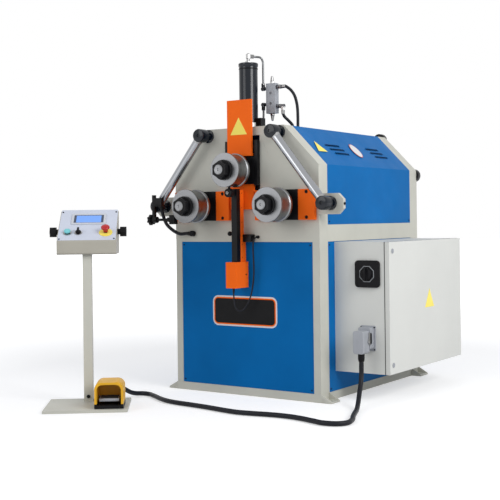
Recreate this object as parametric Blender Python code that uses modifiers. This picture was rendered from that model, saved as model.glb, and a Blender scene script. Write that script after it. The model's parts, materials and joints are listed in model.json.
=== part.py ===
"""A hydraulic three-roll profile bending machine with its free-standing console.

The frame stands on the floor at z = 0. +X is the machine's right, +Y runs to its back.
The origin is the middle of the frame's footprint. Lengths are in metres.
"""
import math

import bmesh
import bpy
from mathutils import Matrix, Vector

# Clearances
GAP = 0.0003
SLIDING_GAP = 0.0003

# Machine frame
FRAME_WIDTH = 0.800
FRAME_DEPTH = 1.010
FRAME_HEIGHT = 1.240
SHOULDER_DROP = 0.184
ROOF_INSET = 0.180
BASE_HEIGHT = 0.037
BASE_RAIL = 0.060
CROSS_BEAM = 0.120
FRONT_END_DEPTH = 0.076
REAR_END_DEPTH = 0.084
FRONT_PLATE = 0.022
REAR_PLATE = 0.010
RIM_WALL = 0.012
WINDOW_DROP = 0.346
WINDOW_POST = 0.035
SIDE_RAIL_HEIGHT = 0.077
WELD = 0.0005
HALF = FRAME_WIDTH / 2
SHOULDER_HEIGHT = FRAME_HEIGHT - SHOULDER_DROP
ROOF_WIDTH = FRAME_WIDTH - 2 * ROOF_INSET
WINDOW_TOP = SHOULDER_HEIGHT - WINDOW_DROP

# Anchor feet, one on each corner of the base
FOOT_REACH = 0.052
FOOT_PLATE = 0.008
ANCHOR_HOLE_RADIUS = 0.007

# Sheet metal
SHEET = 0.003
PANEL_RECESS = 0.002
PANEL_RETURN = 0.016
LOUVRE_LENGTH = 0.134
LOUVRE_HEIGHT = 0.012
LOUVRE_PITCH = 0.027
LOUVRE_SHIFT = 0.015
LOUVRE_DROP = 0.105
LOUVRE_LEVEL = FRAME_HEIGHT - LOUVRE_DROP
LOUVRE_GROUPS = (0.308, 0.709)
LOUVRES_IN_GROUP = 3

# Bending rolls and their spindles
ROLL_RADIUS = 0.0775
GROOVE_RADIUS = 0.0700
ROLL_WIDTH = 0.094
ROLL_RIM = 0.014
ROLL_STANDOFF = 0.062
LOWER_ROLL_INSET = 0.175
TOP_ROLL_DROP = 0.202
ROLL_RISE = 0.160
LOWER_ROLL_SPACING = FRAME_WIDTH - 2 * LOWER_ROLL_INSET
TOP_ROLL_HEIGHT = FRAME_HEIGHT - TOP_ROLL_DROP
LOWER_ROLL_HEIGHT = TOP_ROLL_HEIGHT - ROLL_RISE
SPINDLE_RADIUS = 0.030
JOURNAL_RADIUS = 0.034
COLLAR_RADIUS = 0.048
THREAD_RADIUS = 0.0225
TIP_REACH = 0.205
NUT_RADIUS = 0.039
NUT_LENGTH = 0.030
NUT_SLOT = 0.010
NUT_SLOTS = 4
WASHER_RADIUS = 0.046
WASHER_THICKNESS = 0.013

# Bearing blocks, clamp plates and roll motors
BLOCK_WIDTH = 0.158
BLOCK_HEIGHT = 0.137
BLOCK_PROUD = 0.020
BARREL_RADIUS = 0.060
BARREL_LENGTH = 0.120
CLAMP_INNER_EDGE = 0.073
CLAMP_INSET = 0.012
CLAMP_OUTER_EDGE = HALF - CLAMP_INSET
CLAMP_BOLT_INSET = 0.012
CLAMP_BOLT_RADIUS = 0.0085
CLAMP_BOLT_DEPTH = 0.009
MOTOR_FLANGE = 0.105
MOTOR_FLANGE_THICKNESS = 0.016
MOTOR_RADIUS = 0.047
MOTOR_LENGTH = 0.120
MOTOR_PORT_RADIUS = 0.012
MOTOR_PORT_HEIGHT = 0.018

# Top slide that carries the upper roll
SLIDE_WIDTH = 0.140
SLIDE_ABOVE_ROLL = 0.067
SLIDE_BELOW_ROLL = 0.062
SLIDE_TOP = TOP_ROLL_HEIGHT + SLIDE_ABOVE_ROLL
SLIDE_BOTTOM = TOP_ROLL_HEIGHT - SLIDE_BELOW_ROLL
SLIDE_DEPTH = 0.095
SLIDE_BARREL_LENGTH = 0.055
SLIDE_STROKE = 0.110
GIB_OUTER = 0.090
GIB_DEPTH = 0.060
GIB_ABOVE_SLIDE = 0.072
GIB_BELOW_SLIDE = 0.005
SLOT_ABOVE_GIB = 0.023
GIB_TOP = SLIDE_TOP + GIB_ABOVE_SLIDE
GIB_FRONT_BOTTOM = SLIDE_BOTTOM - GIB_BELOW_SLIDE
SLOT_TOP = GIB_TOP + SLOT_ABOVE_GIB
UPPER_COVER_WIDTH = 0.134
UPPER_COVER_HEIGHT = 0.259
UPPER_COVER_TOP = SLIDE_TOP + UPPER_COVER_HEIGHT
UPPER_COVER_FRONT = 0.034
UPPER_COVER_TAB = 0.120
LOWER_COVER_WIDTH = 0.130
LOWER_COVER_HEIGHT = 0.116
LOWER_COVER_BOTTOM = SLIDE_BOTTOM - LOWER_COVER_HEIGHT
COVER_THICKNESS = 0.012
LOWER_COVER_STANDOFF = 0.003

# Bending cylinder on the roof
CYLINDER_SETBACK = 0.048
CYLINDER_RADIUS = 0.0435
CYLINDER_BORE = 0.036
CYLINDER_HEIGHT = 0.301
CYLINDER_TOP = FRAME_HEIGHT + CYLINDER_HEIGHT
CYLINDER_FLANGE_RADIUS = 0.052
CYLINDER_FLANGE_HEIGHT = 0.022
CYLINDER_GLAND_HEIGHT = 0.012
CYLINDER_HEAD_RADIUS = 0.046
CYLINDER_HEAD_HEIGHT = 0.016
PISTON_ROD_RADIUS = 0.0225
PISTON_HEIGHT = 0.030
PISTON_RISE = 0.155
PISTON_REST = FRAME_HEIGHT + PISTON_RISE
ELBOW_RADIUS = 0.013
ELBOW_HEIGHT = 0.046

# Valve block, its rigid pipes and its hoses
VALVE_SIZE = (0.050, 0.032, 0.140)
VALVE_LEFT = 0.068
VALVE_FRONT = 0.092
VALVE_RISE = 0.066
VALVE_BOTTOM = FRAME_HEIGHT + VALVE_RISE
VALVE_PLUG_RADIUS = 0.010
VALVE_PLUG_LENGTH = 0.034
FITTING_RADIUS = 0.009
UPPER_FITTING = VALVE_BOTTOM + 0.118
LOWER_FITTING = VALVE_BOTTOM + 0.044
FITTING_REACH = 0.034
UPPER_HOSE_PORT = VALVE_BOTTOM + 0.122
LOWER_HOSE_PORT = VALVE_BOTTOM + 0.032
UPPER_PORT_REACH = 0.032
LOWER_PORT_REACH = 0.042
PIPE_RADIUS = 0.005
HOSE_RADIUS = 0.007
HOSE_HOLE_RADIUS = 0.009
HOSE_INSETS = (0.015, 0.042)
HOSE_SETBACK = 0.150
HOSE_ENTRIES = tuple((ROOF_WIDTH / 2 - inset, HOSE_SETBACK) for inset in HOSE_INSETS)
PORT_BLOCK = (0.038, 0.038, 0.038)

# Tie rods in front of the sloping shoulders
TIE_ROD_RADIUS = 0.020
TIE_TOP_INSET = 0.022
TIE_TOP_DROP = 0.032
TIE_BOTTOM_REACH = 0.060
TIE_BOTTOM_DROP = 0.174
TIE_TOP = (ROOF_WIDTH / 2 - TIE_TOP_INSET, FRAME_HEIGHT - TIE_TOP_DROP)
TIE_BOTTOM = (HALF + TIE_BOTTOM_REACH, SHOULDER_HEIGHT - TIE_BOTTOM_DROP)
TIE_PLANE = 0.060
TIE_HEAD_RADIUS = 0.031
TIE_HEAD_LENGTH = 0.052
TIE_SPACER_RADIUS = 0.019
TIE_SOCKET_DEPTH = 0.008
LUG_REACH = 0.122
LUG_HEIGHT = 0.092
LUG_THICKNESS = 0.020
LUG_CHAMFER = 0.026

# Radius gauge under the upper roll
GAUGE_STRIP_WIDTH = 0.026
GAUGE_STRIP_BACK = 0.022
GAUGE_BAR_WIDTH = 0.030
GAUGE_BAR_BACK = 0.054
GAUGE_BAR_FRONT = 0.082
GAUGE_HOLDER_FRONT = 0.0195
GAUGE_HOLDER_BACK = 0.008
GAUGE_HOLDER_RISE = 0.035
GAUGE_FOOT_RISES = (0.004, 0.034)
ENCODER_SIZE = (0.056, 0.100, 0.118)
ENCODER_FRONT = 0.112
ENCODER_DROP = 0.090
ENCODER_STRAP_LOW = 0.030
ENCODER_FLOOR = 0.004
FOLLOWER_RADIUS = 0.020
FOLLOWER_WIDTH = 0.026
FOLLOWER_CLEARANCE = 0.0055
FOLLOWER_PLANE = 0.118
FOLLOWER_PIN_RADIUS = 0.007
GAUGE_KNOB_RADIUS = 0.011
GAUGE_KNOB_REACH = 0.042
GAUGE_KNOB_RISE = 0.039
SENSOR_REACH = 0.058
SENSOR_RISE = 0.0015
SENSOR_HEIGHT = 0.034
SENSOR_DEPTH = 0.034
GAUGE_BAR_RISE = 0.019
GAUGE_STRIP_RISE = 0.015
FOLLOWER_HEIGHT = TOP_ROLL_HEIGHT - ROLL_RADIUS - FOLLOWER_RADIUS - FOLLOWER_CLEARANCE
GAUGE_BAR_TOP = FOLLOWER_HEIGHT + GAUGE_BAR_RISE
GAUGE_STRIP_TOP = FOLLOWER_HEIGHT + GAUGE_STRIP_RISE
GAUGE_HOLDER_TOP = WINDOW_TOP + GAUGE_HOLDER_RISE
GAUGE_KNOB_HEIGHT = WINDOW_TOP + GAUGE_KNOB_RISE
ENCODER_TOP = WINDOW_TOP - ENCODER_DROP

# Lateral guide on the left tie rod head
GUIDE_PLANE = 0.100
GUIDE_BAR_WIDTH = 0.024
GUIDE_BAR_DEPTH = 0.016
GUIDE_BAR_RISE = 0.053
GUIDE_BAR_REACH = 0.048
GUIDE_ARM_REACH = 0.004
GUIDE_CROSS_RISE = 0.039
GUIDE_CROSS_DROP = 0.002
GUIDE_SCREW_DROP = 0.065
GUIDE_BAR_TOP = TIE_BOTTOM[1] + GUIDE_BAR_RISE
GUIDE_BAR_X = -HALF - GUIDE_BAR_REACH
GUIDE_ARM_END = -HALF - GUIDE_ARM_REACH
GUIDE_CROSS_TOP = TIE_BOTTOM[1] + GUIDE_CROSS_RISE
GUIDE_CROSS_BOTTOM = TIE_BOTTOM[1] - GUIDE_CROSS_DROP
GUIDE_SCREW_HEIGHT = TIE_BOTTOM[1] - GUIDE_SCREW_DROP
GUIDE_SCREW_RADIUS = 0.006
GUIDE_SCREW_PITCH = 0.004
GUIDE_KNOB_RADIUS = 0.026
GUIDE_KNOB_THICKNESS = 0.016
GUIDE_KNOB_LOBES = 7
GUIDE_BOSS_RADIUS = 0.015
GUIDE_PAD_INSET = 0.047
GUIDE_PAD_THICKNESS = 0.031
GUIDE_PAD_X = (-HALF + GUIDE_PAD_INSET, -HALF + GUIDE_PAD_INSET + GUIDE_PAD_THICKNESS)
GUIDE_PAD_HEIGHT = 0.044
GUIDE_PAD_DEPTH = 0.026
GUIDE_SLEEVE_LENGTH = 0.018
GUIDE_SLEEVE_RADIUS = 0.011
GUIDE_HOSE_RADIUS = 0.008
GUIDE_FITTING_INSET = 0.108
GUIDE_FITTING_RISE = 0.040
GUIDE_HOSE_FITTING = (-HALF + GUIDE_FITTING_INSET, WINDOW_TOP + GUIDE_FITTING_RISE)
GUIDE_FITTING_RADIUS = 0.013
GUIDE_FITTING_LENGTH = 0.026

# Electrical cabinet on the right side
CABINET_REACH = 0.273
CABINET_FRONT = 0.133
CABINET_BACK = 0.922
CABINET_BOTTOM = 0.126
CABINET_TOP = WINDOW_TOP - PANEL_RECESS
CABINET_WALL = 0.003
CABINET_LIP = 0.012
DOOR_THICKNESS = 0.015
DOOR_WALL = 0.003
HINGE_RADIUS = 0.006
HINGE_PIN_RADIUS = 0.0025
HINGE_KNUCKLE = 0.026
HINGE_INSETS = (0.089, 0.098)
HINGE_HEIGHTS = (CABINET_BOTTOM + HINGE_INSETS[0], CABINET_TOP - HINGE_INSETS[1])
LOCK_RADIUS = 0.011
LOCK_INSET = 0.032
LOCK_END_INSET = 0.040
LOCK_HEIGHTS = (CABINET_BOTTOM + LOCK_END_INSET, CABINET_TOP - LOCK_END_INSET)
GEAR_PLATE_THICKNESS = 0.004
GEAR_PLATE_MARGIN = 0.045
GEAR_PLATE_STANDOFF = 0.012
# Each device on the plate: its ends along the plate and up it as shares of the plate, then its depth
CONTROL_GEAR = ((0.04, 0.30, 0.752, 0.915, 0.075), (0.36, 0.62, 0.752, 0.915, 0.060),
                (0.66, 0.94, 0.671, 0.915, 0.110), (0.04, 0.62, 0.467, 0.569, 0.045),
                (0.04, 0.46, 0.122, 0.346, 0.090), (0.54, 0.94, 0.163, 0.305, 0.070))

# Main switch and mains connector on the cabinet's front wall
SWITCH_REACH = 0.169
SWITCH_DROP = 0.141
SWITCH_CENTRE = (HALF + SWITCH_REACH, CABINET_TOP - SWITCH_DROP)
SWITCH_SIZE = 0.120
SWITCH_THICKNESS = 0.012
SWITCH_KNOB_RADIUS = 0.030
SWITCH_KNOB_LENGTH = 0.014
SWITCH_GRIP = (0.013, 0.054, 0.016)
CONNECTOR_REACH = 0.168
CONNECTOR_RISE = 0.157
CONNECTOR_CENTRE = (HALF + CONNECTOR_REACH, CABINET_BOTTOM + CONNECTOR_RISE)
CONNECTOR_BASE = (0.075, 0.040, 0.112)
CONNECTOR_HOOD = (0.052, 0.058, 0.100)
CONNECTOR_DROP = 0.023
GLAND_RADIUS = 0.015
GLAND_LENGTH = 0.036

# Hydraulic power unit inside the lower housing
TANK_SIZE = (0.460, 0.330, 0.240)
PUMP_MOTOR_RADIUS = 0.085
PUMP_MOTOR_LENGTH = 0.240
PUMP_FLANGE_RADIUS = 0.070
PUMP_FLANGE_HEIGHT = 0.030

# Round bosses on the corners of the rear plate
BOSS_INSETS = (0.033, 0.022)
BOSS_DROPS = (0.014, 0.024)
CORNER_BOSSES = ((ROOF_WIDTH / 2 - BOSS_INSETS[0], FRAME_HEIGHT - BOSS_DROPS[0]),
                 (HALF - BOSS_INSETS[1], SHOULDER_HEIGHT - BOSS_DROPS[1]))
CORNER_BOSS_RADIUS = 0.034
CORNER_BOSS_LENGTH = 0.024

# Console stand, placed on the floor in front of the machine's left corner
CONSOLE_PLACE = (-0.436, -0.592)
CONSOLE_TURN = math.radians(37.5)
STAND_PLATE = (0.361, 0.303, 0.012)
POST_SIZE = 0.040
POST_CENTRE = (-0.004, 0.086)
POST_TOP = 0.690
CONSOLE_WIDTH = 0.262
CONSOLE_FRONT = 0.040
CONSOLE_BACK = 0.250
CONSOLE_BOTTOM = 0.667
CONSOLE_FRONT_TOP = 0.728
CONSOLE_BACK_TOP = 0.868
CONSOLE_WALL = 0.0025
CONSOLE_CORNER = 0.008
TILT_AXIS = (0.145, 0.766)
TILT_TUBE_RADIUS = 0.009
CLAMP_KNOB_RADIUS = 0.024
CLAMP_KNOB_LENGTH = 0.040
CLAMP_KNOB_LOBES = 6
HEAD_PLATE = 0.030
DISPLAY_SIZE = (0.134, 0.064)
DISPLAY_RISE = 0.168
DISPLAY_FRAME = 0.010
DISPLAY_THICKNESS = 0.006
CONTROL_RISE = 0.062
START_ACROSS = -0.088
SELECTOR_ACROSS = -0.040
STOP_ACROSS = 0.082
START_RADIUS = 0.0145
START_HEIGHT = 0.011
SELECTOR_RADIUS = 0.0125
SELECTOR_HEIGHT = 0.020
STOP_RADIUS = 0.0195
STOP_HEIGHT = 0.022
STOP_STEM = 0.012
STOP_STEM_RADIUS = 0.011
STOP_TRAVEL = 0.005
BUTTON_HOLE_RADIUS = 0.008
COLLAR_THICKNESS = 0.003
START_COLLAR_RADIUS = 0.019
SELECTOR_COLLAR_RADIUS = 0.017
STOP_COLLAR_RADIUS = 0.030
BUTTON_TRAVEL = 0.004

# Foot pedal on the stand's plate
PEDAL_CENTRE = (0.100, -0.056)
PEDAL_SIZE = (0.124, 0.146, 0.112)
PEDAL_WALL = 0.010
PEDAL_CORNER = 0.030
PEDAL_BASE = 0.014
PEDAL_GLAND_HEIGHT = 0.066
TREADLE_SIZE = (0.084, 0.098, 0.012)
TREADLE_SETBACK = 0.014
TREADLE_HEIGHT = 0.034
TREADLE_HINGE_RADIUS = 0.005

# Free cables and hoses: radii, then the routes' own points
FLOOR_CABLE_RADIUS = 0.0105
GAUGE_CABLE_RADIUS = 0.0035
GAUGE_GLAND_X = 0.078
GAUGE_GLAND_RISE = 0.023
GAUGE_GLAND_RADIUS = 0.007
GAUGE_GLAND_LENGTH = 0.016

FRONT_Y = -FRAME_DEPTH / 2
REAR_Y = FRAME_DEPTH / 2


def at(setback):
    """Y of a point that lies this far behind the frame's front face."""
    return FRONT_Y + setback


# Scene, collections and materials

for leftover in list(bpy.data.objects):
    bpy.data.objects.remove(leftover)

machine = bpy.data.collections.new("profile_bending_machine")
cutters = bpy.data.collections.new("cutters")
bpy.context.scene.collection.children.link(machine)
bpy.context.scene.collection.children.link(cutters)


def paint(name, colour, roughness, metallic=0.0):
    """A plain finish on a Principled shader."""
    material = bpy.data.materials.new(name)
    material.use_nodes = True
    shader = material.node_tree.nodes["Principled BSDF"]
    shader.inputs["Base Color"].default_value = (*colour, 1.0)
    shader.inputs["Roughness"].default_value = roughness
    shader.inputs["Metallic"].default_value = metallic
    material.diffuse_color = (*colour, 1.0)
    return material


GREY_PAINT = paint("grey_paint", (0.45, 0.44, 0.39), 0.45)
BLUE_PAINT = paint("blue_paint", (0.010, 0.135, 0.420), 0.40)
CABINET_PAINT = paint("cabinet_paint", (0.68, 0.68, 0.65), 0.45)
ORANGE_PAINT = paint("orange_paint", (0.90, 0.14, 0.015), 0.40)
YELLOW_PAINT = paint("yellow_paint", (0.80, 0.45, 0.02), 0.45)
BLACK_STEEL = paint("black_steel", (0.012, 0.012, 0.014), 0.45, 0.6)
POLISHED_STEEL = paint("polished_steel", (0.55, 0.55, 0.57), 0.22, 1.0)
CHROME = paint("chrome", (0.75, 0.75, 0.77), 0.12, 1.0)
ALUMINIUM = paint("aluminium", (0.55, 0.57, 0.60), 0.38, 0.8)
BLACK_PLASTIC = paint("black_plastic", (0.015, 0.015, 0.016), 0.40)
RED_PLASTIC = paint("red_plastic", (0.60, 0.012, 0.012), 0.30)
CYAN_PLASTIC = paint("cyan_plastic", (0.18, 0.62, 0.66), 0.35)
DISPLAY_GLASS = paint("display_glass", (0.12, 0.28, 0.62), 0.15)
BLACK_RUBBER = paint("black_rubber", (0.018, 0.018, 0.018), 0.70)


# Mesh makers

def finished(bm, smooth=False):
    """Turn a bmesh into mesh data with outward faces."""
    bmesh.ops.recalc_face_normals(bm, faces=bm.faces[:])
    if bm.calc_volume(signed=True) < 0:
        bmesh.ops.reverse_faces(bm, faces=bm.faces[:])
    mesh = bpy.data.meshes.new("shape")
    bm.to_mesh(mesh)
    bm.free()
    if smooth:
        mesh.shade_smooth()
        mesh.set_sharp_from_angle(angle=math.radians(35))
    return mesh


def box(low, high):
    """A box between two corners."""
    bm = bmesh.new()
    size = [high[i] - low[i] for i in range(3)]
    centre = [(high[i] + low[i]) / 2 for i in range(3)]
    bmesh.ops.create_cube(bm, size=1.0, matrix=Matrix.LocRotScale(centre, None, size))
    return finished(bm)


def rod(start, end, radius, end_radius=None, sides=24):
    """A round bar or cone between two points."""
    start = Vector(start)
    end = Vector(end)
    run = end - start
    place = Matrix.Translation((start + end) / 2) @ run.to_track_quat("Z", "Y").to_matrix().to_4x4()
    bm = bmesh.new()
    bmesh.ops.create_cone(bm, cap_ends=True, segments=sides, radius1=radius,
                          radius2=radius if end_radius is None else end_radius,
                          depth=run.length, matrix=place)
    return finished(bm, smooth=True)


def evaluated_mesh(holder, tolerance=1e-6):
    """The evaluated mesh of a helper object, welded; the helper is removed."""
    cutters.objects.link(holder)
    bpy.context.view_layer.update()
    mesh = bpy.data.meshes.new_from_object(holder.evaluated_get(bpy.context.evaluated_depsgraph_get()))
    bpy.data.objects.remove(holder)
    bm = bmesh.new()
    bm.from_mesh(mesh)
    bmesh.ops.remove_doubles(bm, verts=bm.verts[:], dist=tolerance)
    return bm


# Each extrusion axis keeps the outline's two directions in X, Y, Z order
EXTRUSION_FRAMES = {
    "X": Matrix(((0, 0, 1, 0), (1, 0, 0, 0), (0, 1, 0, 0), (0, 0, 0, 1))),
    "Y": Matrix(((1, 0, 0, 0), (0, 0, 1, 0), (0, 1, 0, 0), (0, 0, 0, 1))),
    "Z": Matrix.Identity(4),
}


def slab(outlines, axis, low, high, smooth=False):
    """One or more closed outlines, the later ones being holes, extruded along an axis."""
    curve = bpy.data.curves.new("outline", "CURVE")
    curve.dimensions = "2D"
    curve.fill_mode = "BOTH"
    curve.extrude = (high - low) / 2
    for outline in outlines:
        spline = curve.splines.new("POLY")
        spline.points.add(len(outline) - 1)
        for point, (a, b) in zip(spline.points, outline):
            point.co = (a, b, 0, 1)
        spline.use_cyclic_u = True
    bm = evaluated_mesh(bpy.data.objects.new("outline", curve))
    bm.transform(EXTRUSION_FRAMES[axis] @ Matrix.Translation((0, 0, (low + high) / 2)))
    return finished(bm, smooth)


def turned(profile, base, axis, steps=28):
    """A profile of (radius, height) points turned about an axis through base."""
    bm = bmesh.new()
    ring = [bm.verts.new((r, 0, h)) for r, h in profile]
    for here, there in zip(ring, ring[1:]):
        bm.edges.new((here, there))
    if min(profile[0][0], profile[-1][0]) > 1e-9:
        bm.edges.new((ring[-1], ring[0]))
    mesh = bpy.data.meshes.new("profile")
    bm.to_mesh(mesh)
    bm.free()
    holder = bpy.data.objects.new("profile", mesh)
    screw = holder.modifiers.new("turn", "SCREW")
    screw.steps = steps
    screw.render_steps = steps
    screw.use_merge_vertices = True
    screw.merge_threshold = 0.00001
    bm = evaluated_mesh(holder)
    turn = Vector(axis).to_track_quat("Z", "Y").to_matrix().to_4x4()
    bm.transform(Matrix.Translation(base) @ turn)
    return finished(bm, smooth=True)


def smooth_route(points, spacing, lowest):
    """Points at an even spacing along a smooth curve through the route's own points."""
    knots = [Vector(p) for p in points]
    knots = [2 * knots[0] - knots[1]] + knots + [2 * knots[-1] - knots[-2]]
    fine = []
    for a, b, c, d in zip(knots, knots[1:], knots[2:], knots[3:]):
        for step in range(24):
            t = step / 24
            fine.append(0.5 * (2 * b + (c - a) * t + (2 * a - 5 * b + 4 * c - d) * t ** 2
                               + (3 * b - a - 3 * c + d) * t ** 3))
    fine.append(knots[-2])
    total = sum((q - p).length for p, q in zip(fine, fine[1:]))
    count = max(4, round(total / spacing))
    even = [fine[0]]
    travelled = 0.0
    for p, q in zip(fine, fine[1:]):
        length = (q - p).length
        while len(even) < count and travelled + length >= total * len(even) / count:
            even.append(p.lerp(q, (total * len(even) / count - travelled) / length))
        travelled += length
    even.append(fine[-1])
    return [Vector((p.x, p.y, max(p.z, lowest))) for p in even]


def tube(points, radius, spacing, resolution=2):
    """A round tube along a route above the floor, with closed ends."""
    curve = bpy.data.curves.new("route", "CURVE")
    curve.dimensions = "3D"
    curve.bevel_depth = radius
    curve.bevel_resolution = resolution
    curve.use_fill_caps = True
    path = smooth_route(points, spacing, radius + GAP)
    spline = curve.splines.new("POLY")
    spline.points.add(len(path) - 1)
    for point, place in zip(spline.points, path):
        point.co = (*place, 1)
    bm = evaluated_mesh(bpy.data.objects.new("route", curve))
    return finished(bm, smooth=True)


def rounded(corners, radius, steps=3):
    """The corners of a convex outline, each replaced by an arc."""
    points = []
    count = len(corners)
    for i, corner in enumerate(corners):
        here = Vector(corner)
        before = (Vector(corners[i - 1]) - here).normalized()
        after = (Vector(corners[(i + 1) % count]) - here).normalized()
        half_angle = before.angle(after) / 2
        reach = radius / math.tan(half_angle)
        centre = here + (before + after).normalized() * radius / math.sin(half_angle)
        start = here + before * reach - centre
        end = here + after * reach - centre
        sweep = start.angle_signed(end)
        for step in range(steps + 1):
            turn = -sweep * step / steps
            points.append(tuple(centre + Matrix.Rotation(turn, 2) @ start))
    return points


def lobed(centre, radius, lobes, depth, steps=8):
    """An outline of a star knob, with round lobes."""
    points = []
    for i in range(lobes * steps):
        turn = 2 * math.pi * i / (lobes * steps)
        reach = radius - depth * (0.5 - 0.5 * math.cos(lobes * turn))
        points.append((centre[0] + reach * math.cos(turn), centre[1] + reach * math.sin(turn)))
    return points


def rectangle(left, right, bottom, top):
    """An outline with four corners."""
    return [(left, bottom), (right, bottom), (right, top), (left, top)]


# Objects, joins and cuts

def piece(name, mesh, material, carrier=None):
    """A named piece of the machine."""
    mesh.name = name
    mesh.materials.clear()
    mesh.materials.append(material)
    obj = bpy.data.objects.new(name, mesh)
    machine.objects.link(obj)
    hold(obj, carrier)
    return obj


def helper(mesh, carrier):
    """A hidden shape that only joins or cuts."""
    obj = bpy.data.objects.new("helper", mesh)
    cutters.objects.link(obj)
    obj.hide_render = True
    obj.display_type = "WIRE"
    hold(obj, carrier)
    return obj


def hold(obj, carrier):
    """Parent to a carrier, keeping the place that the mesh was drawn in."""
    if carrier:
        obj.parent = carrier
        obj.location = -Vector(carrier["origin"])


def change(obj, operation, meshes):
    for mesh in meshes:
        modifier = obj.modifiers.new(operation.lower(), "BOOLEAN")
        modifier.operation = operation
        modifier.solver = "EXACT"
        modifier.object = helper(mesh, obj.parent)


def cut(obj, *meshes):
    """Take shapes away from a piece."""
    change(obj, "DIFFERENCE", meshes)


def join(obj, *meshes):
    """Weld shapes onto a piece."""
    change(obj, "UNION", meshes)


def bevelled(obj, width, segments=2):
    """Round the sharp edges of a piece."""
    modifier = obj.modifiers.new("bevel", "BEVEL")
    modifier.width = width
    modifier.segments = segments
    modifier.limit_method = "ANGLE"
    return obj


def carrier(name, origin, parent=None):
    """An empty on a joint's axis, which the joint's pieces hang on."""
    empty = bpy.data.objects.new(name, None)
    machine.objects.link(empty)
    empty["origin"] = tuple(origin)
    empty.location = origin
    if parent:
        empty.parent = parent
        empty.location = Vector(origin) - Vector(parent["origin"])
    return empty


# Frame

def house(inset, bottom, half_width=HALF):
    """The end plates' outline, moved in by inset, from a height upwards."""
    slope = math.atan2(FRAME_HEIGHT - SHOULDER_HEIGHT, half_width - ROOF_WIDTH / 2)
    side = half_width - inset
    shoulder = SHOULDER_HEIGHT - inset * math.tan((math.pi / 2 - slope) / 2)
    roof = ROOF_WIDTH / 2 - inset * math.tan(slope / 2)
    top = FRAME_HEIGHT - inset
    return [(-side, bottom), (side, bottom), (side, shoulder), (roof, top), (-roof, top), (-side, shoulder)]


def make_base():
    inner = HALF - BASE_RAIL
    front = at(FRONT_END_DEPTH)
    back = REAR_Y - REAR_END_DEPTH
    beam = CROSS_BEAM / 2
    base = piece("base_frame", slab([rectangle(-HALF, HALF, FRONT_Y, REAR_Y),
                                     rectangle(-inner, inner, front, -beam),
                                     rectangle(-inner, inner, beam, back)], "Z", 0, BASE_HEIGHT), GREY_PAINT)
    for side in (-1, 1):
        for low, high in ((FRONT_Y, front), (back, REAR_Y)):
            root = side * (HALF - 0.005)
            toe = side * (HALF + FOOT_REACH)
            gusset = [(root, 0), (toe, 0), (toe, FOOT_PLATE), (side * HALF, BASE_HEIGHT), (root, BASE_HEIGHT)]
            join(base, slab([gusset], "Y", low + WELD, high - WELD))
            edges = sorted((side * HALF, side * (HALF + FOOT_REACH + 0.01)))
            cut(base, box((edges[0], low + FOOT_PLATE, FOOT_PLATE),
                          (edges[1], high - FOOT_PLATE, BASE_HEIGHT + 0.01)))
            hole = (side * (HALF + FOOT_REACH / 2), (low + high) / 2)
            cut(base, rod((*hole, -0.01), (*hole, BASE_HEIGHT), ANCHOR_HOLE_RADIUS, sides=14))


def lug_outline(side):
    """A plate beside the shoulder with two chamfered corners."""
    tip = HALF + LUG_REACH
    low = TIE_BOTTOM[1] - 0.003 - LUG_HEIGHT / 2
    high = low + LUG_HEIGHT
    points = [(HALF - 0.005, low), (tip - LUG_CHAMFER, low), (tip, low + LUG_CHAMFER),
              (tip, high - LUG_CHAMFER), (tip - LUG_CHAMFER, high), (HALF - 0.005, high)]
    return [(side * x, z) for x, z in points]


def make_main_frame():
    """Front and rear end plates, the side rails between them and the rear corner bosses, one weldment."""
    low = BASE_HEIGHT + GAP
    back = at(FRONT_END_DEPTH)
    frame = piece("main_frame", slab([house(0, low)], "Y", FRONT_Y, back), GREY_PAINT)
    window = HALF - WINDOW_POST
    cut(frame, box((-window, FRONT_Y - 0.01, 0), (window, back + 0.01, WINDOW_TOP + GAP)))
    cut(frame, slab([house(RIM_WALL, WINDOW_TOP + RIM_WALL)], "Y", at(FRONT_PLATE), back + 0.01))
    slot = GIB_OUTER + GAP
    cut(frame, box((-slot, FRONT_Y - 0.01, slot_bottom()), (slot, at(FRONT_PLATE) + 0.01, SLOT_TOP)))
    for side in (-1, 1):
        centre = side * LOWER_ROLL_SPACING / 2
        cut(frame, rod((centre, FRONT_Y - 0.01, LOWER_ROLL_HEIGHT),
                       (centre, at(FRONT_PLATE) + 0.01, LOWER_ROLL_HEIGHT), BARREL_RADIUS + GAP, sides=32))
        join(frame, slab([lug_outline(side)], "Y", at(WELD), at(LUG_THICKNESS + WELD)))
    cut(frame, rod((0, at(CYLINDER_SETBACK), FRAME_HEIGHT - 0.03), (0, at(CYLINDER_SETBACK), FRAME_HEIGHT + 0.01),
                   PISTON_ROD_RADIUS + SLIDING_GAP, sides=32))

    front = REAR_Y - REAR_END_DEPTH
    join(frame, slab([house(0, low)], "Y", front, REAR_Y))
    cut(frame, box((-window, front - 0.01, 0), (window, REAR_Y + 0.01, WINDOW_TOP + GAP)))
    cut(frame, slab([house(RIM_WALL, WINDOW_TOP + RIM_WALL)], "Y", front - 0.01, REAR_Y - REAR_PLATE))
    for side in (-1, 1):
        edges = sorted((side * (HALF - WELD), side * (HALF - RIM_WALL + WELD)))
        join(frame, box((edges[0], back - 0.004, WINDOW_TOP + 0.001),
                        (edges[1], front + 0.004, WINDOW_TOP + SIDE_RAIL_HEIGHT)))
        for x, z in CORNER_BOSSES:
            join(frame, rod((side * x, REAR_Y - 0.005, z), (side * x, REAR_Y + CORNER_BOSS_LENGTH, z),
                            CORNER_BOSS_RADIUS, sides=20))


def slot_bottom():
    """Lower end of the slot in the front plate, clear of the slide's barrel at the end of its stroke."""
    return TOP_ROLL_HEIGHT - SLIDE_STROKE - BARREL_RADIUS - 0.004


# Sheet metal

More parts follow.
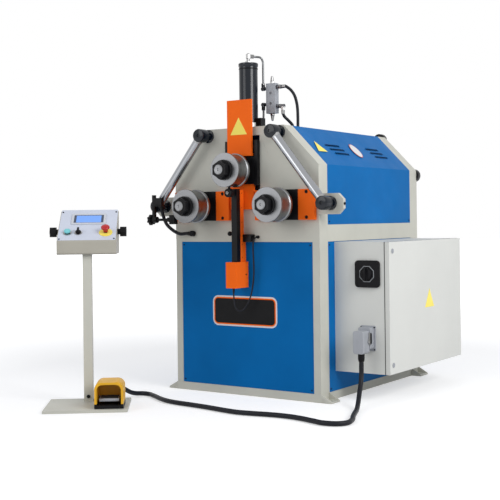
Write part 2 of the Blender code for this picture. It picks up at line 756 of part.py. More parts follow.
def pan(name, low, high, axis, inward, material):
    """A thin panel with its four edges folded inward along an axis."""
    tray = piece(name, box(low, high), material)
    inner_low = [a + SHEET for a in low]
    inner_high = [b - SHEET for b in high]
    if inward > 0:
        inner_high[axis] = high[axis] + 0.01
    else:
        inner_low[axis] = low[axis] - 0.01
    cut(tray, box(inner_low, inner_high))
    return tray


def make_panels():
    window = HALF - WINDOW_POST - GAP
    low = BASE_HEIGHT + GAP
    front = at(PANEL_RECESS)
    pan("front_panel", (-window, front, low), (window, front + PANEL_RETURN, WINDOW_TOP), 1, 1, BLUE_PAINT)
    back = REAR_Y - PANEL_RECESS
    rear = pan("rear_panel", (-window, back - PANEL_RETURN, low), (window, back, WINDOW_TOP), 1, -1, BLUE_PAINT)
    for i in range(6):
        level = WINDOW_TOP - 0.10 - i * LOUVRE_PITCH
        slot = rounded(rectangle(-0.12, 0.12, level - LOUVRE_HEIGHT / 2, level + LOUVRE_HEIGHT / 2),
                       LOUVRE_HEIGHT / 2 - 0.0005)
        cut(rear, slab([slot], "Y", back - SHEET - 0.005, back + 0.01))
    front = at(FRONT_END_DEPTH) + GAP
    back = REAR_Y - REAR_END_DEPTH - GAP
    pan("left_side_panel", (-HALF, front, low), (-HALF + PANEL_RETURN, back, WINDOW_TOP), 0, 1, BLUE_PAINT)
    pan("right_side_panel", (HALF - PANEL_RETURN, front, low), (HALF, back, WINDOW_TOP), 0, -1, BLUE_PAINT)


def make_upper_cover():
    bottom = WINDOW_TOP + SIDE_RAIL_HEIGHT + GAP
    front = at(FRONT_END_DEPTH) + GAP
    back = REAR_Y - REAR_END_DEPTH - GAP
    outline = house(0, bottom)
    strip = [outline[1], outline[2], outline[3], outline[4], outline[5], outline[0]]
    bm = bmesh.new()
    near = [bm.verts.new((x, front, z)) for x, z in strip]
    far = [bm.verts.new((x, back, z)) for x, z in strip]
    for i in range(len(strip) - 1):
        bm.faces.new((near[i], near[i + 1], far[i + 1], far[i]))
    mesh = bpy.data.meshes.new("cover")
    bm.to_mesh(mesh)
    bm.free()
    cover = piece("upper_cover", mesh, BLUE_PAINT)
    shell = cover.modifiers.new("sheet", "SOLIDIFY")
    shell.thickness = SHEET
    shell.offset = 1
    shell.use_even_offset = True
    slope = Vector((HALF - ROOF_WIDTH / 2, 0, SHOULDER_HEIGHT - FRAME_HEIGHT)).normalized()
    across = ROOF_WIDTH / 2 + (FRAME_HEIGHT - LOUVRE_LEVEL) * slope.x / -slope.z
    for side in (-1, 1):
        middle = Vector((side * across, 0, LOUVRE_LEVEL))
        fall = Vector((side * slope.x, 0, slope.z))
        outward = Vector((-side * slope.z, 0, slope.x)).normalized()
        place = Matrix((fall, (0, side, 0), outward)).transposed().to_4x4()
        for group in LOUVRE_GROUPS:
            for row in range(LOUVRES_IN_GROUP):
                order = row - (LOUVRES_IN_GROUP - 1) / 2
                step = order * LOUVRE_PITCH
                start = at(group) + order * LOUVRE_SHIFT
                slot = slab([rounded(rectangle(-LOUVRE_HEIGHT / 2, LOUVRE_HEIGHT / 2,
                                               -LOUVRE_LENGTH / 2, LOUVRE_LENGTH / 2),
                                     LOUVRE_HEIGHT / 2 - 0.0005)], "Z", -0.02, 0.02)
                slot.transform(Matrix.Translation(middle + fall * step + Vector((0, start, 0))) @ place)
                cut(cover, slot)
    for x, setback in HOSE_ENTRIES:
        cut(cover, rod((x, at(setback), FRAME_HEIGHT - 0.02), (x, at(setback), FRAME_HEIGHT + 0.02),
                       HOSE_HOLE_RADIUS, sides=20))


# Rolls and spindles

def spindle_profile(length):
    """Thread, nut, washer, roll seat, collar and journal of a spindle, from its tip backwards."""
    seat = TIP_REACH - ROLL_STANDOFF - ROLL_WIDTH
    washer = seat - GAP - WASHER_THICKNESS
    nut = washer - NUT_LENGTH
    collar = seat + ROLL_WIDTH
    journal = TIP_REACH - BLOCK_PROUD - 0.001
    return [(0, 0), (THREAD_RADIUS - 0.003, 0), (THREAD_RADIUS, 0.003), (THREAD_RADIUS, nut),
            (NUT_RADIUS, nut), (NUT_RADIUS, washer),
            (WASHER_RADIUS, washer), (WASHER_RADIUS, seat - GAP), (SPINDLE_RADIUS, seat - GAP),
            (SPINDLE_RADIUS, collar + GAP), (COLLAR_RADIUS, collar + GAP),
            (COLLAR_RADIUS, journal), (JOURNAL_RADIUS, journal), (JOURNAL_RADIUS, length), (0, length)]


def roll_profile():
    bore = SPINDLE_RADIUS + SLIDING_GAP
    slope = (ROLL_RADIUS - GROOVE_RADIUS) * 0.5
    width = ROLL_WIDTH
    return [(bore, 0), (ROLL_RADIUS, 0), (ROLL_RADIUS, ROLL_RIM), (GROOVE_RADIUS, ROLL_RIM + slope),
            (GROOVE_RADIUS, width - ROLL_RIM - slope), (ROLL_RADIUS, width - ROLL_RIM), (ROLL_RADIUS, width),
            (bore, width)]


def make_roll(name, x, height, barrel_end, parent):
    """A roll on its spindle, which carries a slotted nut and turns with the roll."""
    tip = (x, at(-TIP_REACH), height)
    spin = carrier(name + "_axis", tip, parent)
    length = TIP_REACH + barrel_end
    spindle = piece(name + "_spindle", turned(spindle_profile(length), tip, (0, 1, 0)), POLISHED_STEEL, spin)
    front = at(-ROLL_STANDOFF - ROLL_WIDTH)
    piece(name, turned(roll_profile(), (x, front, height), (0, 1, 0), 40), POLISHED_STEEL, spin)
    face = front - GAP - NUT_LENGTH - WASHER_THICKNESS
    for i in range(NUT_SLOTS):
        turn = Matrix.Rotation(2 * math.pi * i / NUT_SLOTS + math.pi / 4, 4, "Y")
        slot = box((NUT_RADIUS - 0.005, -0.010, -NUT_SLOT / 2), (NUT_RADIUS + 0.01, NUT_LENGTH * 0.7, NUT_SLOT / 2))
        slot.transform(Matrix.Translation((x, face, height)) @ turn)
        cut(spindle, slot)


def make_bearing_block(name, x):
    """A black flange on the front plate, its barrel through the plate and the roll motor behind."""
    low = LOWER_ROLL_HEIGHT - BLOCK_HEIGHT / 2
    block = piece(name, box((x - BLOCK_WIDTH / 2, at(-BLOCK_PROUD), low),
                            (x + BLOCK_WIDTH / 2, at(-GAP), low + BLOCK_HEIGHT)), BLACK_STEEL)
    join(block, rod((x, at(-BLOCK_PROUD / 2), LOWER_ROLL_HEIGHT), (x, at(BARREL_LENGTH), LOWER_ROLL_HEIGHT),
                    BARREL_RADIUS, sides=32))
    add_motor(block, x, LOWER_ROLL_HEIGHT, BARREL_LENGTH)


def add_motor(block, x, height, barrel_end):
    """A hydraulic roll motor on the barrel's end, then the spindle's blind bore."""
    half = MOTOR_FLANGE / 2
    start = at(barrel_end) - 0.004
    body_end = start + MOTOR_FLANGE_THICKNESS + MOTOR_LENGTH
    join(block, slab([rounded(rectangle(x - half, x + half, height - half, height + half), 0.012)],
                     "Y", start, start + MOTOR_FLANGE_THICKNESS))
    join(block, rod((x, start + 0.005, height), (x, body_end, height), MOTOR_RADIUS, sides=24))
    for side in (-1, 1):
        port = (x + side * 0.022, body_end - 0.035, height + 0.010)
        join(block, rod(port, (port[0], port[1], height + MOTOR_RADIUS + MOTOR_PORT_HEIGHT), MOTOR_PORT_RADIUS,
                        sides=12))
    cut(block, rod((x, at(-BLOCK_PROUD - 0.01), height), (x, at(barrel_end - 0.012), height),
                   JOURNAL_RADIUS + SLIDING_GAP, sides=32))


def make_clamp_plates():
    low = LOWER_ROLL_HEIGHT - BLOCK_HEIGHT / 2
    high = low + BLOCK_HEIGHT
    block_inner = LOWER_ROLL_SPACING / 2 - BLOCK_WIDTH / 2
    block_outer = LOWER_ROLL_SPACING / 2 + BLOCK_WIDTH / 2
    for word, side in (("left", -1), ("right", 1)):
        for part, near, far in (("inner", CLAMP_INNER_EDGE, block_inner - GAP),
                                ("outer", block_outer + GAP, CLAMP_OUTER_EDGE)):
            edges = sorted((side * near, side * far))
            plate = piece(f"{word}_{part}_clamp", box((edges[0], at(-BLOCK_PROUD), low), (edges[1], at(-GAP), high)),
                          ORANGE_PAINT)
            middle = side * (near + far) / 2
            for level in (low + CLAMP_BOLT_INSET, high - CLAMP_BOLT_INSET):
                cut(plate, rod((middle, at(-BLOCK_PROUD - 0.01), level),
                               (middle, at(-BLOCK_PROUD + CLAMP_BOLT_DEPTH), level), CLAMP_BOLT_RADIUS, sides=14))


# Top slide

def make_gibs():
    """Black guide rails in the plate's slot, one on each side of the slide."""
    bottom = slot_bottom() + GAP
    outline = [(at(-BLOCK_PROUD), GIB_FRONT_BOTTOM), (at(-BLOCK_PROUD), GIB_TOP), (at(GIB_DEPTH), GIB_TOP),
               (at(GIB_DEPTH), bottom), (at(GAP), bottom), (at(GAP), GIB_FRONT_BOTTOM)]
    for name, side in (("left_gib", -1), ("right_gib", 1)):
        edges = sorted((side * (SLIDE_WIDTH / 2 + SLIDING_GAP), side * GIB_OUTER))
        piece(name, slab([outline], "X", *edges), BLACK_STEEL)


def make_top_slide():
    slide = carrier("top_slide_axis", (0, at(CYLINDER_SETBACK), SLIDE_TOP))
    half = SLIDE_WIDTH / 2
    back = at(SLIDE_DEPTH - BLOCK_PROUD)
    block = piece("slide_block", box((-half, at(-BLOCK_PROUD), SLIDE_BOTTOM), (half, back, SLIDE_TOP)),
                  BLACK_STEEL, slide)
    barrel_end = SLIDE_DEPTH - BLOCK_PROUD + SLIDE_BARREL_LENGTH
    join(block, rod((0, back - 0.01, TOP_ROLL_HEIGHT), (0, at(barrel_end), TOP_ROLL_HEIGHT), BARREL_RADIUS, sides=32))
    add_motor(block, 0, TOP_ROLL_HEIGHT, barrel_end)
    make_roll("top_roll", 0, TOP_ROLL_HEIGHT, barrel_end - 0.020, slide)

    seat = SLIDE_TOP + GAP
    front = at(-UPPER_COVER_FRONT)
    side_view = [(front, seat), (front, UPPER_COVER_TOP), (front + COVER_THICKNESS, UPPER_COVER_TOP),
                 (front + COVER_THICKNESS, seat + COVER_THICKNESS), (at(0.012), seat + COVER_THICKNESS),
                 (at(0.012), seat)]
    upper = piece("upper_slide_cover", slab([side_view], "X", -UPPER_COVER_WIDTH / 2, UPPER_COVER_WIDTH / 2),
                  ORANGE_PAINT, slide)
    for side in (-1, 1):
        edges = sorted((side * UPPER_COVER_TAB / 2, side * (UPPER_COVER_WIDTH / 2 + 0.01)))
        cut(upper, box((edges[0], front + COVER_THICKNESS + GAP, seat - 0.01),
                       (edges[1], at(0.03), seat + COVER_THICKNESS + 0.01)))
    lower_back = at(-LOWER_COVER_STANDOFF)
    piece("lower_slide_cover", box((-LOWER_COVER_WIDTH / 2, lower_back - COVER_THICKNESS, LOWER_COVER_BOTTOM),
                                   (LOWER_COVER_WIDTH / 2, lower_back, SLIDE_BOTTOM - GAP)), ORANGE_PAINT, slide)
    foot = PISTON_ROD_RADIUS + 0.009
    rod_profile = [(0, 0), (foot, 0), (foot, 0.012), (PISTON_ROD_RADIUS, 0.016),
                   (PISTON_ROD_RADIUS, PISTON_REST - seat), (CYLINDER_BORE - SLIDING_GAP, PISTON_REST - seat),
                   (CYLINDER_BORE - SLIDING_GAP, PISTON_REST - seat + PISTON_HEIGHT),
                   (0, PISTON_REST - seat + PISTON_HEIGHT)]
    piece("piston_rod", turned(rod_profile, (0, at(CYLINDER_SETBACK), seat), (0, 0, 1), 24), CHROME, slide)


# Cylinder, valve, pipes and hoses

def make_cylinder():
    """The cylinder with its top elbow, its port block and the two rigid pipes on them."""
    base = FRAME_HEIGHT + GAP
    gland = PISTON_ROD_RADIUS + SLIDING_GAP
    flange = CYLINDER_FLANGE_HEIGHT
    top = CYLINDER_TOP - base
    head = top - CYLINDER_HEAD_HEIGHT
    profile = [(gland, 0), (CYLINDER_FLANGE_RADIUS, 0), (CYLINDER_FLANGE_RADIUS, flange), (CYLINDER_RADIUS, flange),
               (CYLINDER_RADIUS, head), (CYLINDER_HEAD_RADIUS, head), (CYLINDER_HEAD_RADIUS, top - 0.003),
               (CYLINDER_HEAD_RADIUS - 0.003, top), (ELBOW_RADIUS, top), (ELBOW_RADIUS, top + ELBOW_HEIGHT),
               (0, top + ELBOW_HEIGHT), (0, head - 0.010), (CYLINDER_BORE, head - 0.010),
               (CYLINDER_BORE, CYLINDER_GLAND_HEIGHT), (gland, CYLINDER_GLAND_HEIGHT)]
    centre = (0, at(CYLINDER_SETBACK))
    bm = bmesh.new()
    bm.from_mesh(turned_ring(profile, (*centre, base), 28))
    cylinder = piece("cylinder", finished(bm, smooth=True), BLACK_STEEL)
    outlet = CYLINDER_TOP + ELBOW_HEIGHT - ELBOW_RADIUS
    join(cylinder, rod((0.002, centre[1] + 0.004, outlet), (0.012, centre[1] + 0.024, outlet), ELBOW_RADIUS * 0.7,
                       sides=12))
    left = CYLINDER_RADIUS - 0.004
    middle = at(CYLINDER_SETBACK + 0.004)
    width, depth, height = PORT_BLOCK
    join(cylinder, box((left, middle - depth / 2, base + 0.004), (left + width, middle + depth / 2,
                                                                  base + 0.004 + height)))
    return cylinder


def turned_ring(profile, base, steps):
    """A turned shape whose profile is a closed ring that touches the axis."""
    bm = bmesh.new()
    ring = [bm.verts.new((r, 0, h)) for r, h in profile]
    on_axis = [i for i, (r, _) in enumerate(profile) if r == 0]
    for i in range(len(ring)):
        there = (i + 1) % len(ring)
        if not (i in on_axis and there in on_axis):
            bm.edges.new((ring[i], ring[there]))
    mesh = bpy.data.meshes.new("profile")
    bm.to_mesh(mesh)
    bm.free()
    holder = bpy.data.objects.new("profile", mesh)
    screw = holder.modifiers.new("turn", "SCREW")
    screw.steps = steps
    screw.render_steps = steps
    screw.use_merge_vertices = True
    screw.merge_threshold = 0.00001
    bm = evaluated_mesh(holder)
    bm.transform(Matrix.Translation(base))
    return finished(bm, smooth=True)


def make_valve():
    width, depth, height = VALVE_SIZE
    right = VALVE_LEFT + width
    top = VALVE_BOTTOM + height
    middle = (VALVE_LEFT + width / 2, at(VALVE_FRONT + depth / 2))
    line = middle[1]
    valve = piece("valve_block", box((VALVE_LEFT, at(VALVE_FRONT), VALVE_BOTTOM),
                                     (right, at(VALVE_FRONT) + depth, top)), ALUMINIUM)
    join(valve, rod((*middle, top - 0.005), (*middle, top + VALVE_PLUG_LENGTH), VALVE_PLUG_RADIUS, sides=12))
    join(valve, rod((*middle, VALVE_BOTTOM - VALVE_PLUG_LENGTH), (*middle, VALVE_BOTTOM + 0.005), VALVE_PLUG_RADIUS,
                    sides=12))
    elbow = VALVE_LEFT - FITTING_REACH
    for level, reach in ((UPPER_FITTING, 0.026), (LOWER_FITTING, -0.026)):
        join(valve, rod((VALVE_LEFT + 0.005, line, level), (elbow, line, level), FITTING_RADIUS, sides=12))
        join(valve, rod((elbow + FITTING_RADIUS, line, level - math.copysign(FITTING_RADIUS, reach)),
                        (elbow + FITTING_RADIUS, line, level + reach), FITTING_RADIUS * 1.15, sides=12))
    for level, reach in ((UPPER_HOSE_PORT, UPPER_PORT_REACH), (LOWER_HOSE_PORT, LOWER_PORT_REACH)):
        join(valve, rod((right - 0.005, line, level), (right + reach, line, level), FITTING_RADIUS, sides=12))
    drop = (right + LOWER_PORT_REACH - FITTING_RADIUS, line)
    join(valve, rod((*drop, LOWER_HOSE_PORT + FITTING_RADIUS), (*drop, LOWER_HOSE_PORT - 0.022),
                    FITTING_RADIUS * 1.1, sides=12))
    return elbow + FITTING_RADIUS, line, right, drop


def make_pipes(cylinder):
    elbow, line, right, drop = make_valve()
    outlet = CYLINDER_TOP + ELBOW_HEIGHT - ELBOW_RADIUS
    start = Vector((0.012, at(CYLINDER_SETBACK) + 0.024, outlet))
    heading = Vector((0.012, 0.024, 0)).normalized()
    top_of_fitting = UPPER_FITTING + 0.026 + GAP
    join(cylinder, tube([start - heading * 0.010, start + heading * 0.012, (elbow - 0.006, line - 0.012, outlet - 0.004),
                         (elbow - 0.0005, line - 0.001, outlet - 0.022), (elbow, line, outlet - 0.045),
                         (elbow, line, outlet - 0.080), (elbow, line, top_of_fitting)], PIPE_RADIUS, spacing=0.014))
    port = Vector((CYLINDER_RADIUS - 0.004 + PORT_BLOCK[0] / 2, at(CYLINDER_SETBACK + 0.004) + PORT_BLOCK[1] / 2,
                   FRAME_HEIGHT + 0.022))
    fall = LOWER_FITTING - 0.026 - GAP
    join(cylinder, tube([(elbow, line, fall), (elbow, line, fall - 0.012), (elbow + 0.002, line - 0.004, fall - 0.032),
                         (elbow + 0.008, line - 0.016, fall - 0.049), (port.x - 0.001, port.y + 0.008, port.z + 0.001),
                         (port.x, port.y - 0.005, port.z)], PIPE_RADIUS, spacing=0.010))
    first = (HOSE_ENTRIES[0][0], at(HOSE_ENTRIES[0][1]))
    start = right + UPPER_PORT_REACH + 2 * GAP
    level = UPPER_HOSE_PORT
    piece("upper_hose", tube([(start, line, level), (start + 0.008, line, level), (start + 0.016, line + 0.001, level - 0.001),
                              (start + 0.034, line + 0.012, level - 0.016),
                              (start + 0.049, line + 0.024, level - 0.044), (first[0], first[1] - 0.006, level - 0.085),
                              (*first, level - 0.130), (*first, FRAME_HEIGHT), (*first, FRAME_HEIGHT - 0.040)],
                             HOSE_RADIUS, spacing=0.016), BLACK_RUBBER)
    second = (HOSE_ENTRIES[1][0], at(HOSE_ENTRIES[1][1]))
    under = LOWER_HOSE_PORT - 0.022 - 2 * GAP
    across = second[0] - drop[0]
    along = second[1] - drop[1]
    piece("lower_hose", tube([(*drop, under), (*drop, under - 0.013),
                              (drop[0] + 0.16 * across, drop[1] + 0.16 * along, under - 0.028),
                              (drop[0] + 0.60 * across, drop[1] + 0.60 * along, under - 0.047),
                              (drop[0] + 0.95 * across, drop[1] + 0.95 * along, under - 0.066),
                              (*second, FRAME_HEIGHT - 0.010), (*second, FRAME_HEIGHT - 0.040)],
                             HOSE_RADIUS, spacing=0.012), BLACK_RUBBER)


# Tie rods

def make_tie_rods():
    """A chromed rod with its two round heads in front of each sloping shoulder."""
    for word, side in (("left", -1), ("right", 1)):
        top = Vector((side * TIE_TOP[0], at(-TIE_PLANE), TIE_TOP[1]))
        bottom = Vector((side * TIE_BOTTOM[0], at(-TIE_PLANE), TIE_BOTTOM[1]))
        run = (bottom - top).normalized()
        reach = TIE_HEAD_RADIUS - TIE_SOCKET_DEPTH
        tie = piece(f"{word}_tie_rod", rod(top + run * reach, bottom - run * reach, TIE_ROD_RADIUS, sides=18), CHROME)
        for centre in (top, bottom):
            front = centre.y - TIE_HEAD_LENGTH / 2
            depth = at(-GAP) - front
            head = [(0, 0), (TIE_HEAD_RADIUS - 0.005, 0), (TIE_HEAD_RADIUS, 0.005), (TIE_HEAD_RADIUS, TIE_HEAD_LENGTH),
                    (TIE_SPACER_RADIUS, TIE_HEAD_LENGTH + 0.004), (TIE_SPACER_RADIUS, depth - 0.012),
                    (TIE_HEAD_RADIUS, depth - 0.008), (TIE_HEAD_RADIUS, depth), (0, depth)]
            join(tie, turned(head, (centre.x, front, centre.z), (0, 1, 0), 22))


# Radius gauge

def make_gauge():
    """An orange strip with a black bar that follows the profile and sinks into the encoder box."""
    half = GAUGE_STRIP_WIDTH / 2
    width, depth, height = ENCODER_SIZE
    front = at(-ENCODER_FRONT)
    bottom = ENCODER_TOP - height
    bracket = piece("gauge_bracket", box((-width / 2, front, bottom), (width / 2, front + depth, ENCODER_TOP)),
                    ORANGE_PAINT)
    bar_half = GAUGE_BAR_WIDTH / 2
    well = bar_half + SLIDING_GAP
    cut(bracket, box((-well, at(-GAUGE_BAR_FRONT - SLIDING_GAP), bottom + ENCODER_FLOOR),
                     (well, at(-GAUGE_STRIP_BACK + SLIDING_GAP), ENCODER_TOP + 0.01)))
    join(bracket, box((-half, at(-GAUGE_HOLDER_FRONT), bottom + ENCODER_STRAP_LOW),
                      (half, at(-GAUGE_HOLDER_BACK), GAUGE_HOLDER_TOP)))
    foot_low, foot_high = (WINDOW_TOP + rise for rise in GAUGE_FOOT_RISES)
    join(bracket, box((-half + WELD, at(-GAUGE_HOLDER_BACK - 0.004), foot_low),
                      (half - WELD, at(-GAP), foot_high)))
    right = SENSOR_REACH
    low = WINDOW_TOP + SENSOR_RISE
    high = low + SENSOR_HEIGHT
    join(bracket, box((half - 0.006, at(-GAUGE_HOLDER_FRONT + 0.003), low + 0.004),
                      (half + 0.010, at(-GAUGE_HOLDER_BACK - 0.002), high - 0.004)))
    join(bracket, box((half + SLIDING_GAP, at(-SENSOR_DEPTH), low), (right, at(-GAP), high)))

    gauge = carrier("gauge_slide_axis", (0, at(-GAUGE_BAR_FRONT), ENCODER_TOP))
    foot = ENCODER_TOP - 0.003
    bar = piece("gauge_bar", box((-bar_half, at(-GAUGE_BAR_FRONT), foot), (bar_half, at(-GAUGE_BAR_BACK), GAUGE_BAR_TOP)),
                BLACK_STEEL, gauge)
    join(bar, box((-half, at(-GAUGE_BAR_BACK - 0.004), foot + WELD), (half, at(-GAUGE_STRIP_BACK), GAUGE_STRIP_TOP)))
    pin_end = at(-FOLLOWER_PLANE - FOLLOWER_WIDTH / 2 - 0.004)
    join(bar, rod((0, at(-GAUGE_BAR_FRONT + 0.01), FOLLOWER_HEIGHT), (0, pin_end, FOLLOWER_HEIGHT),
                  FOLLOWER_PIN_RADIUS, sides=16))
    axis = carrier("follower_axis", (0, at(-FOLLOWER_PLANE), FOLLOWER_HEIGHT), gauge)
    bore = FOLLOWER_PIN_RADIUS + SLIDING_GAP
    follower_front = at(-FOLLOWER_PLANE - FOLLOWER_WIDTH / 2)
    piece("gauge_follower", turned([(bore, 0), (FOLLOWER_RADIUS - 0.002, 0), (FOLLOWER_RADIUS, 0.002),
                                    (FOLLOWER_RADIUS, FOLLOWER_WIDTH), (bore, FOLLOWER_WIDTH)],
                                   (0, follower_front, FOLLOWER_HEIGHT), (0, 1, 0), 24), BLACK_STEEL, axis)

    stem_y = at(-(GAUGE_BAR_BACK + GAUGE_STRIP_BACK) / 2)
    knob = carrier("gauge_knob_axis", (-half, stem_y, GAUGE_KNOB_HEIGHT), gauge)
    centre = Vector((-half - GAP - GAUGE_KNOB_REACH, stem_y, GAUGE_KNOB_HEIGHT))
    arc = [(GAUGE_KNOB_RADIUS * math.sin(a), -GAUGE_KNOB_RADIUS * math.cos(a)) for a in
           [math.pi * i / 8 for i in range(1, 8)]]
    profile = [(0, -GAUGE_KNOB_RADIUS)] + arc + [(0.005, GAUGE_KNOB_RADIUS), (0.005, GAUGE_KNOB_REACH), (0, GAUGE_KNOB_REACH)]
    piece("gauge_knob", turned(profile, centre, (1, 0, 0), 16), BLACK_PLASTIC, knob)


# Lateral guide on the left

def make_guide():
    line = at(-GUIDE_PLANE)
    half_width = GUIDE_BAR_WIDTH / 2
    half_depth = GUIDE_BAR_DEPTH / 2
    left = GUIDE_BAR_X - half_width
    right = GUIDE_BAR_X + half_width
    arm = piece("guide_arm", box((left, line - half_depth, GUIDE_SCREW_HEIGHT - 0.004), (right - 0.010, line + half_depth,
                                                                                       GUIDE_BAR_TOP)), BLACK_STEEL)
    head_front = at(-TIE_PLANE - TIE_HEAD_LENGTH / 2) - GAP
    join(arm, box((left + 0.004, line - half_depth, GUIDE_CROSS_BOTTOM), (GUIDE_ARM_END, head_front, GUIDE_CROSS_TOP)))
    boss = GUIDE_BOSS_RADIUS
    screw_line = (line, GUIDE_SCREW_HEIGHT)
    join(arm, rod((left - 0.002, *screw_line), (right + 0.002, *screw_line), boss, sides=24))
    cut(arm, rod((left - 0.02, *screw_line), (right + 0.02, *screw_line), GUIDE_SCREW_RADIUS + SLIDING_GAP, sides=20))

    knob_carrier = carrier("guide_knob_axis", (left, *screw_line))
    knob_face = left - 0.002 - SLIDING_GAP
    knob = piece("guide_knob", slab([lobed(screw_line, GUIDE_KNOB_RADIUS, GUIDE_KNOB_LOBES, 0.006, 6)], "X",
                                    knob_face - GUIDE_KNOB_THICKNESS, knob_face, smooth=True),
                 BLACK_PLASTIC, knob_carrier)
    screw_end = GUIDE_PAD_X[0] + 0.014
    join(knob, rod((knob_face - 0.006, *screw_line), (screw_end, *screw_line), GUIDE_SCREW_RADIUS, sides=20))

    pad_carrier = carrier("guide_pad_axis", (GUIDE_PAD_X[0], *screw_line))
    pad = piece("guide_pad", box((GUIDE_PAD_X[0], line - GUIDE_PAD_DEPTH / 2, GUIDE_SCREW_HEIGHT - GUIDE_PAD_HEIGHT / 2),
                                 (GUIDE_PAD_X[1], line + GUIDE_PAD_DEPTH / 2, GUIDE_SCREW_HEIGHT + GUIDE_PAD_HEIGHT / 2)),
                BLACK_PLASTIC, pad_carrier)
    join(pad, rod((GUIDE_PAD_X[0] - GUIDE_SLEEVE_LENGTH, *screw_line), (GUIDE_PAD_X[0] + 0.005, *screw_line),
                  GUIDE_SLEEVE_RADIUS, sides=20))
    cut(pad, rod((GUIDE_PAD_X[0] - GUIDE_SLEEVE_LENGTH - 0.01, *screw_line), (GUIDE_PAD_X[1] - 0.0015, *screw_line),
                 GUIDE_SCREW_RADIUS + SLIDING_GAP, sides=20))
    fitting_x, fitting_z = GUIDE_HOSE_FITTING
    fitting_y = at(-0.014)
    x = GUIDE_ARM_END - 0.007
    top = GUIDE_CROSS_BOTTOM - 2 * GAP
    end = (fitting_x - 0.018, fitting_y, fitting_z)
    hose = piece("guide_hose", tube([(x, line + 0.005, top), (x, line + 0.005, top - 0.014),
                                     (x + 0.002, line + 0.016, top - 0.048), (x + 0.012, line + 0.027, top - 0.084),
                                     (x + 0.034, line + 0.046, top - 0.113), (x + 0.058, line + 0.068, end[2] - 0.001),
                                     (end[0] - 0.016, end[1] - 0.003, end[2]), end],
                                    GUIDE_HOSE_RADIUS, spacing=0.014), BLACK_RUBBER)
    join(hose, rod((fitting_x, fitting_y, fitting_z), (fitting_x - 0.024, fitting_y, fitting_z), 0.009, sides=16))
    join(hose, rod((fitting_x, at(-GUIDE_FITTING_LENGTH), fitting_z), (fitting_x, at(-GAP), fitting_z),
                   GUIDE_FITTING_RADIUS, sides=20))


# Electrical cabinet

def make_cabinet():
    left = HALF + GAP
    right = HALF + CABINET_REACH
    seam = right - DOOR_THICKNESS
    front = at(CABINET_FRONT)
    back = at(CABINET_BACK)
    wall = CABINET_WALL
    lip = CABINET_LIP
    cabinet = piece("cabinet_box", box((left, front, CABINET_BOTTOM), (seam - GAP, back, CABINET_TOP)), CABINET_PAINT)
    cut(cabinet, box((left + wall, front + wall, CABINET_BOTTOM + wall), (seam - wall, back - wall, CABINET_TOP - wall)))
    cut(cabinet, box((seam - 0.02, front + lip, CABINET_BOTTOM + lip), (seam + 0.01, back - lip, CABINET_TOP - lip)))

    margin = GEAR_PLATE_MARGIN
    plate_x = left + wall + GEAR_PLATE_STANDOFF
    join(cabinet, box((plate_x, front + margin, CABINET_BOTTOM + margin),
                      (plate_x + GEAR_PLATE_THICKNESS, back - margin, CABINET_TOP - margin)))
    step = back - front - 2 * margin
    climb = CABINET_TOP - CABINET_BOTTOM - 2 * margin
    for low, high, bottom, top, depth in CONTROL_GEAR:
        join(cabinet, box((plate_x + 0.002, front + margin + low * step, CABINET_BOTTOM + margin + bottom * climb),
                          (plate_x + depth, front + margin + high * step, CABINET_BOTTOM + margin + top * climb)))
    for y in (front + margin + 0.03, back - margin - 0.03):
        for z in (CABINET_BOTTOM + margin + 0.025, CABINET_TOP - margin - 0.015):
            join(cabinet, rod((left + 0.001, y, z), (plate_x + 0.002, y, z), 0.006, sides=12))

    axis = (seam, back + HINGE_RADIUS + 0.0005)
    door_carrier = carrier("cabinet_door_axis", (*axis, CABINET_BOTTOM))
    door = piece("cabinet_door", box((seam, front, CABINET_BOTTOM), (right, back, CABINET_TOP)), CABINET_PAINT,
                 door_carrier)
    cut(door, box((seam - 0.01, front + DOOR_WALL, CABINET_BOTTOM + DOOR_WALL),
                  (right - DOOR_WALL, back - DOOR_WALL, CABINET_TOP - DOOR_WALL)))
    for low in HINGE_HEIGHTS:
        join(cabinet, rod((*axis, low), (*axis, low + HINGE_KNUCKLE), HINGE_RADIUS, sides=20))
        join(cabinet, box((seam - 0.030, back - 0.001, low), (seam - 0.002, back + 0.0022, low + HINGE_KNUCKLE)))
        join(cabinet, box((seam - 0.006, back + 0.0005, low), (seam - 0.001, back + 0.006, low + HINGE_KNUCKLE)))
        join(cabinet, rod((*axis, low + 0.002), (*axis, low + 2 * HINGE_KNUCKLE - 0.004), HINGE_PIN_RADIUS, sides=16))
        upper = low + HINGE_KNUCKLE + GAP
        high = low + 2 * HINGE_KNUCKLE
        join(door, rod((*axis, upper), (*axis, high), HINGE_RADIUS, sides=20))
        join(door, box((seam + 0.0005, back - 0.001, upper), (seam + 0.005, back + HINGE_RADIUS, high)))
        cut(door, rod((*axis, upper - 0.01), (*axis, high + 0.01), HINGE_PIN_RADIUS + SLIDING_GAP, sides=16))

    for word, level in zip(("lower", "upper"), LOCK_HEIGHTS):
        lock_line = (front + LOCK_INSET, level)
        cut(door, rod((right - 0.02, *lock_line), (right + 0.01, *lock_line), 0.0065, sides=16))
        lock_carrier = carrier(f"{word}_lock_axis", (right, *lock_line), door_carrier)
        lock = piece(f"{word}_cabinet_lock", rod((right + GAP, *lock_line), (right + 0.003, *lock_line), LOCK_RADIUS,
                                                sides=20), BLACK_PLASTIC, lock_carrier)
        join(lock, rod((seam + 0.0035, *lock_line), (right + 0.002, *lock_line), 0.006, sides=16))


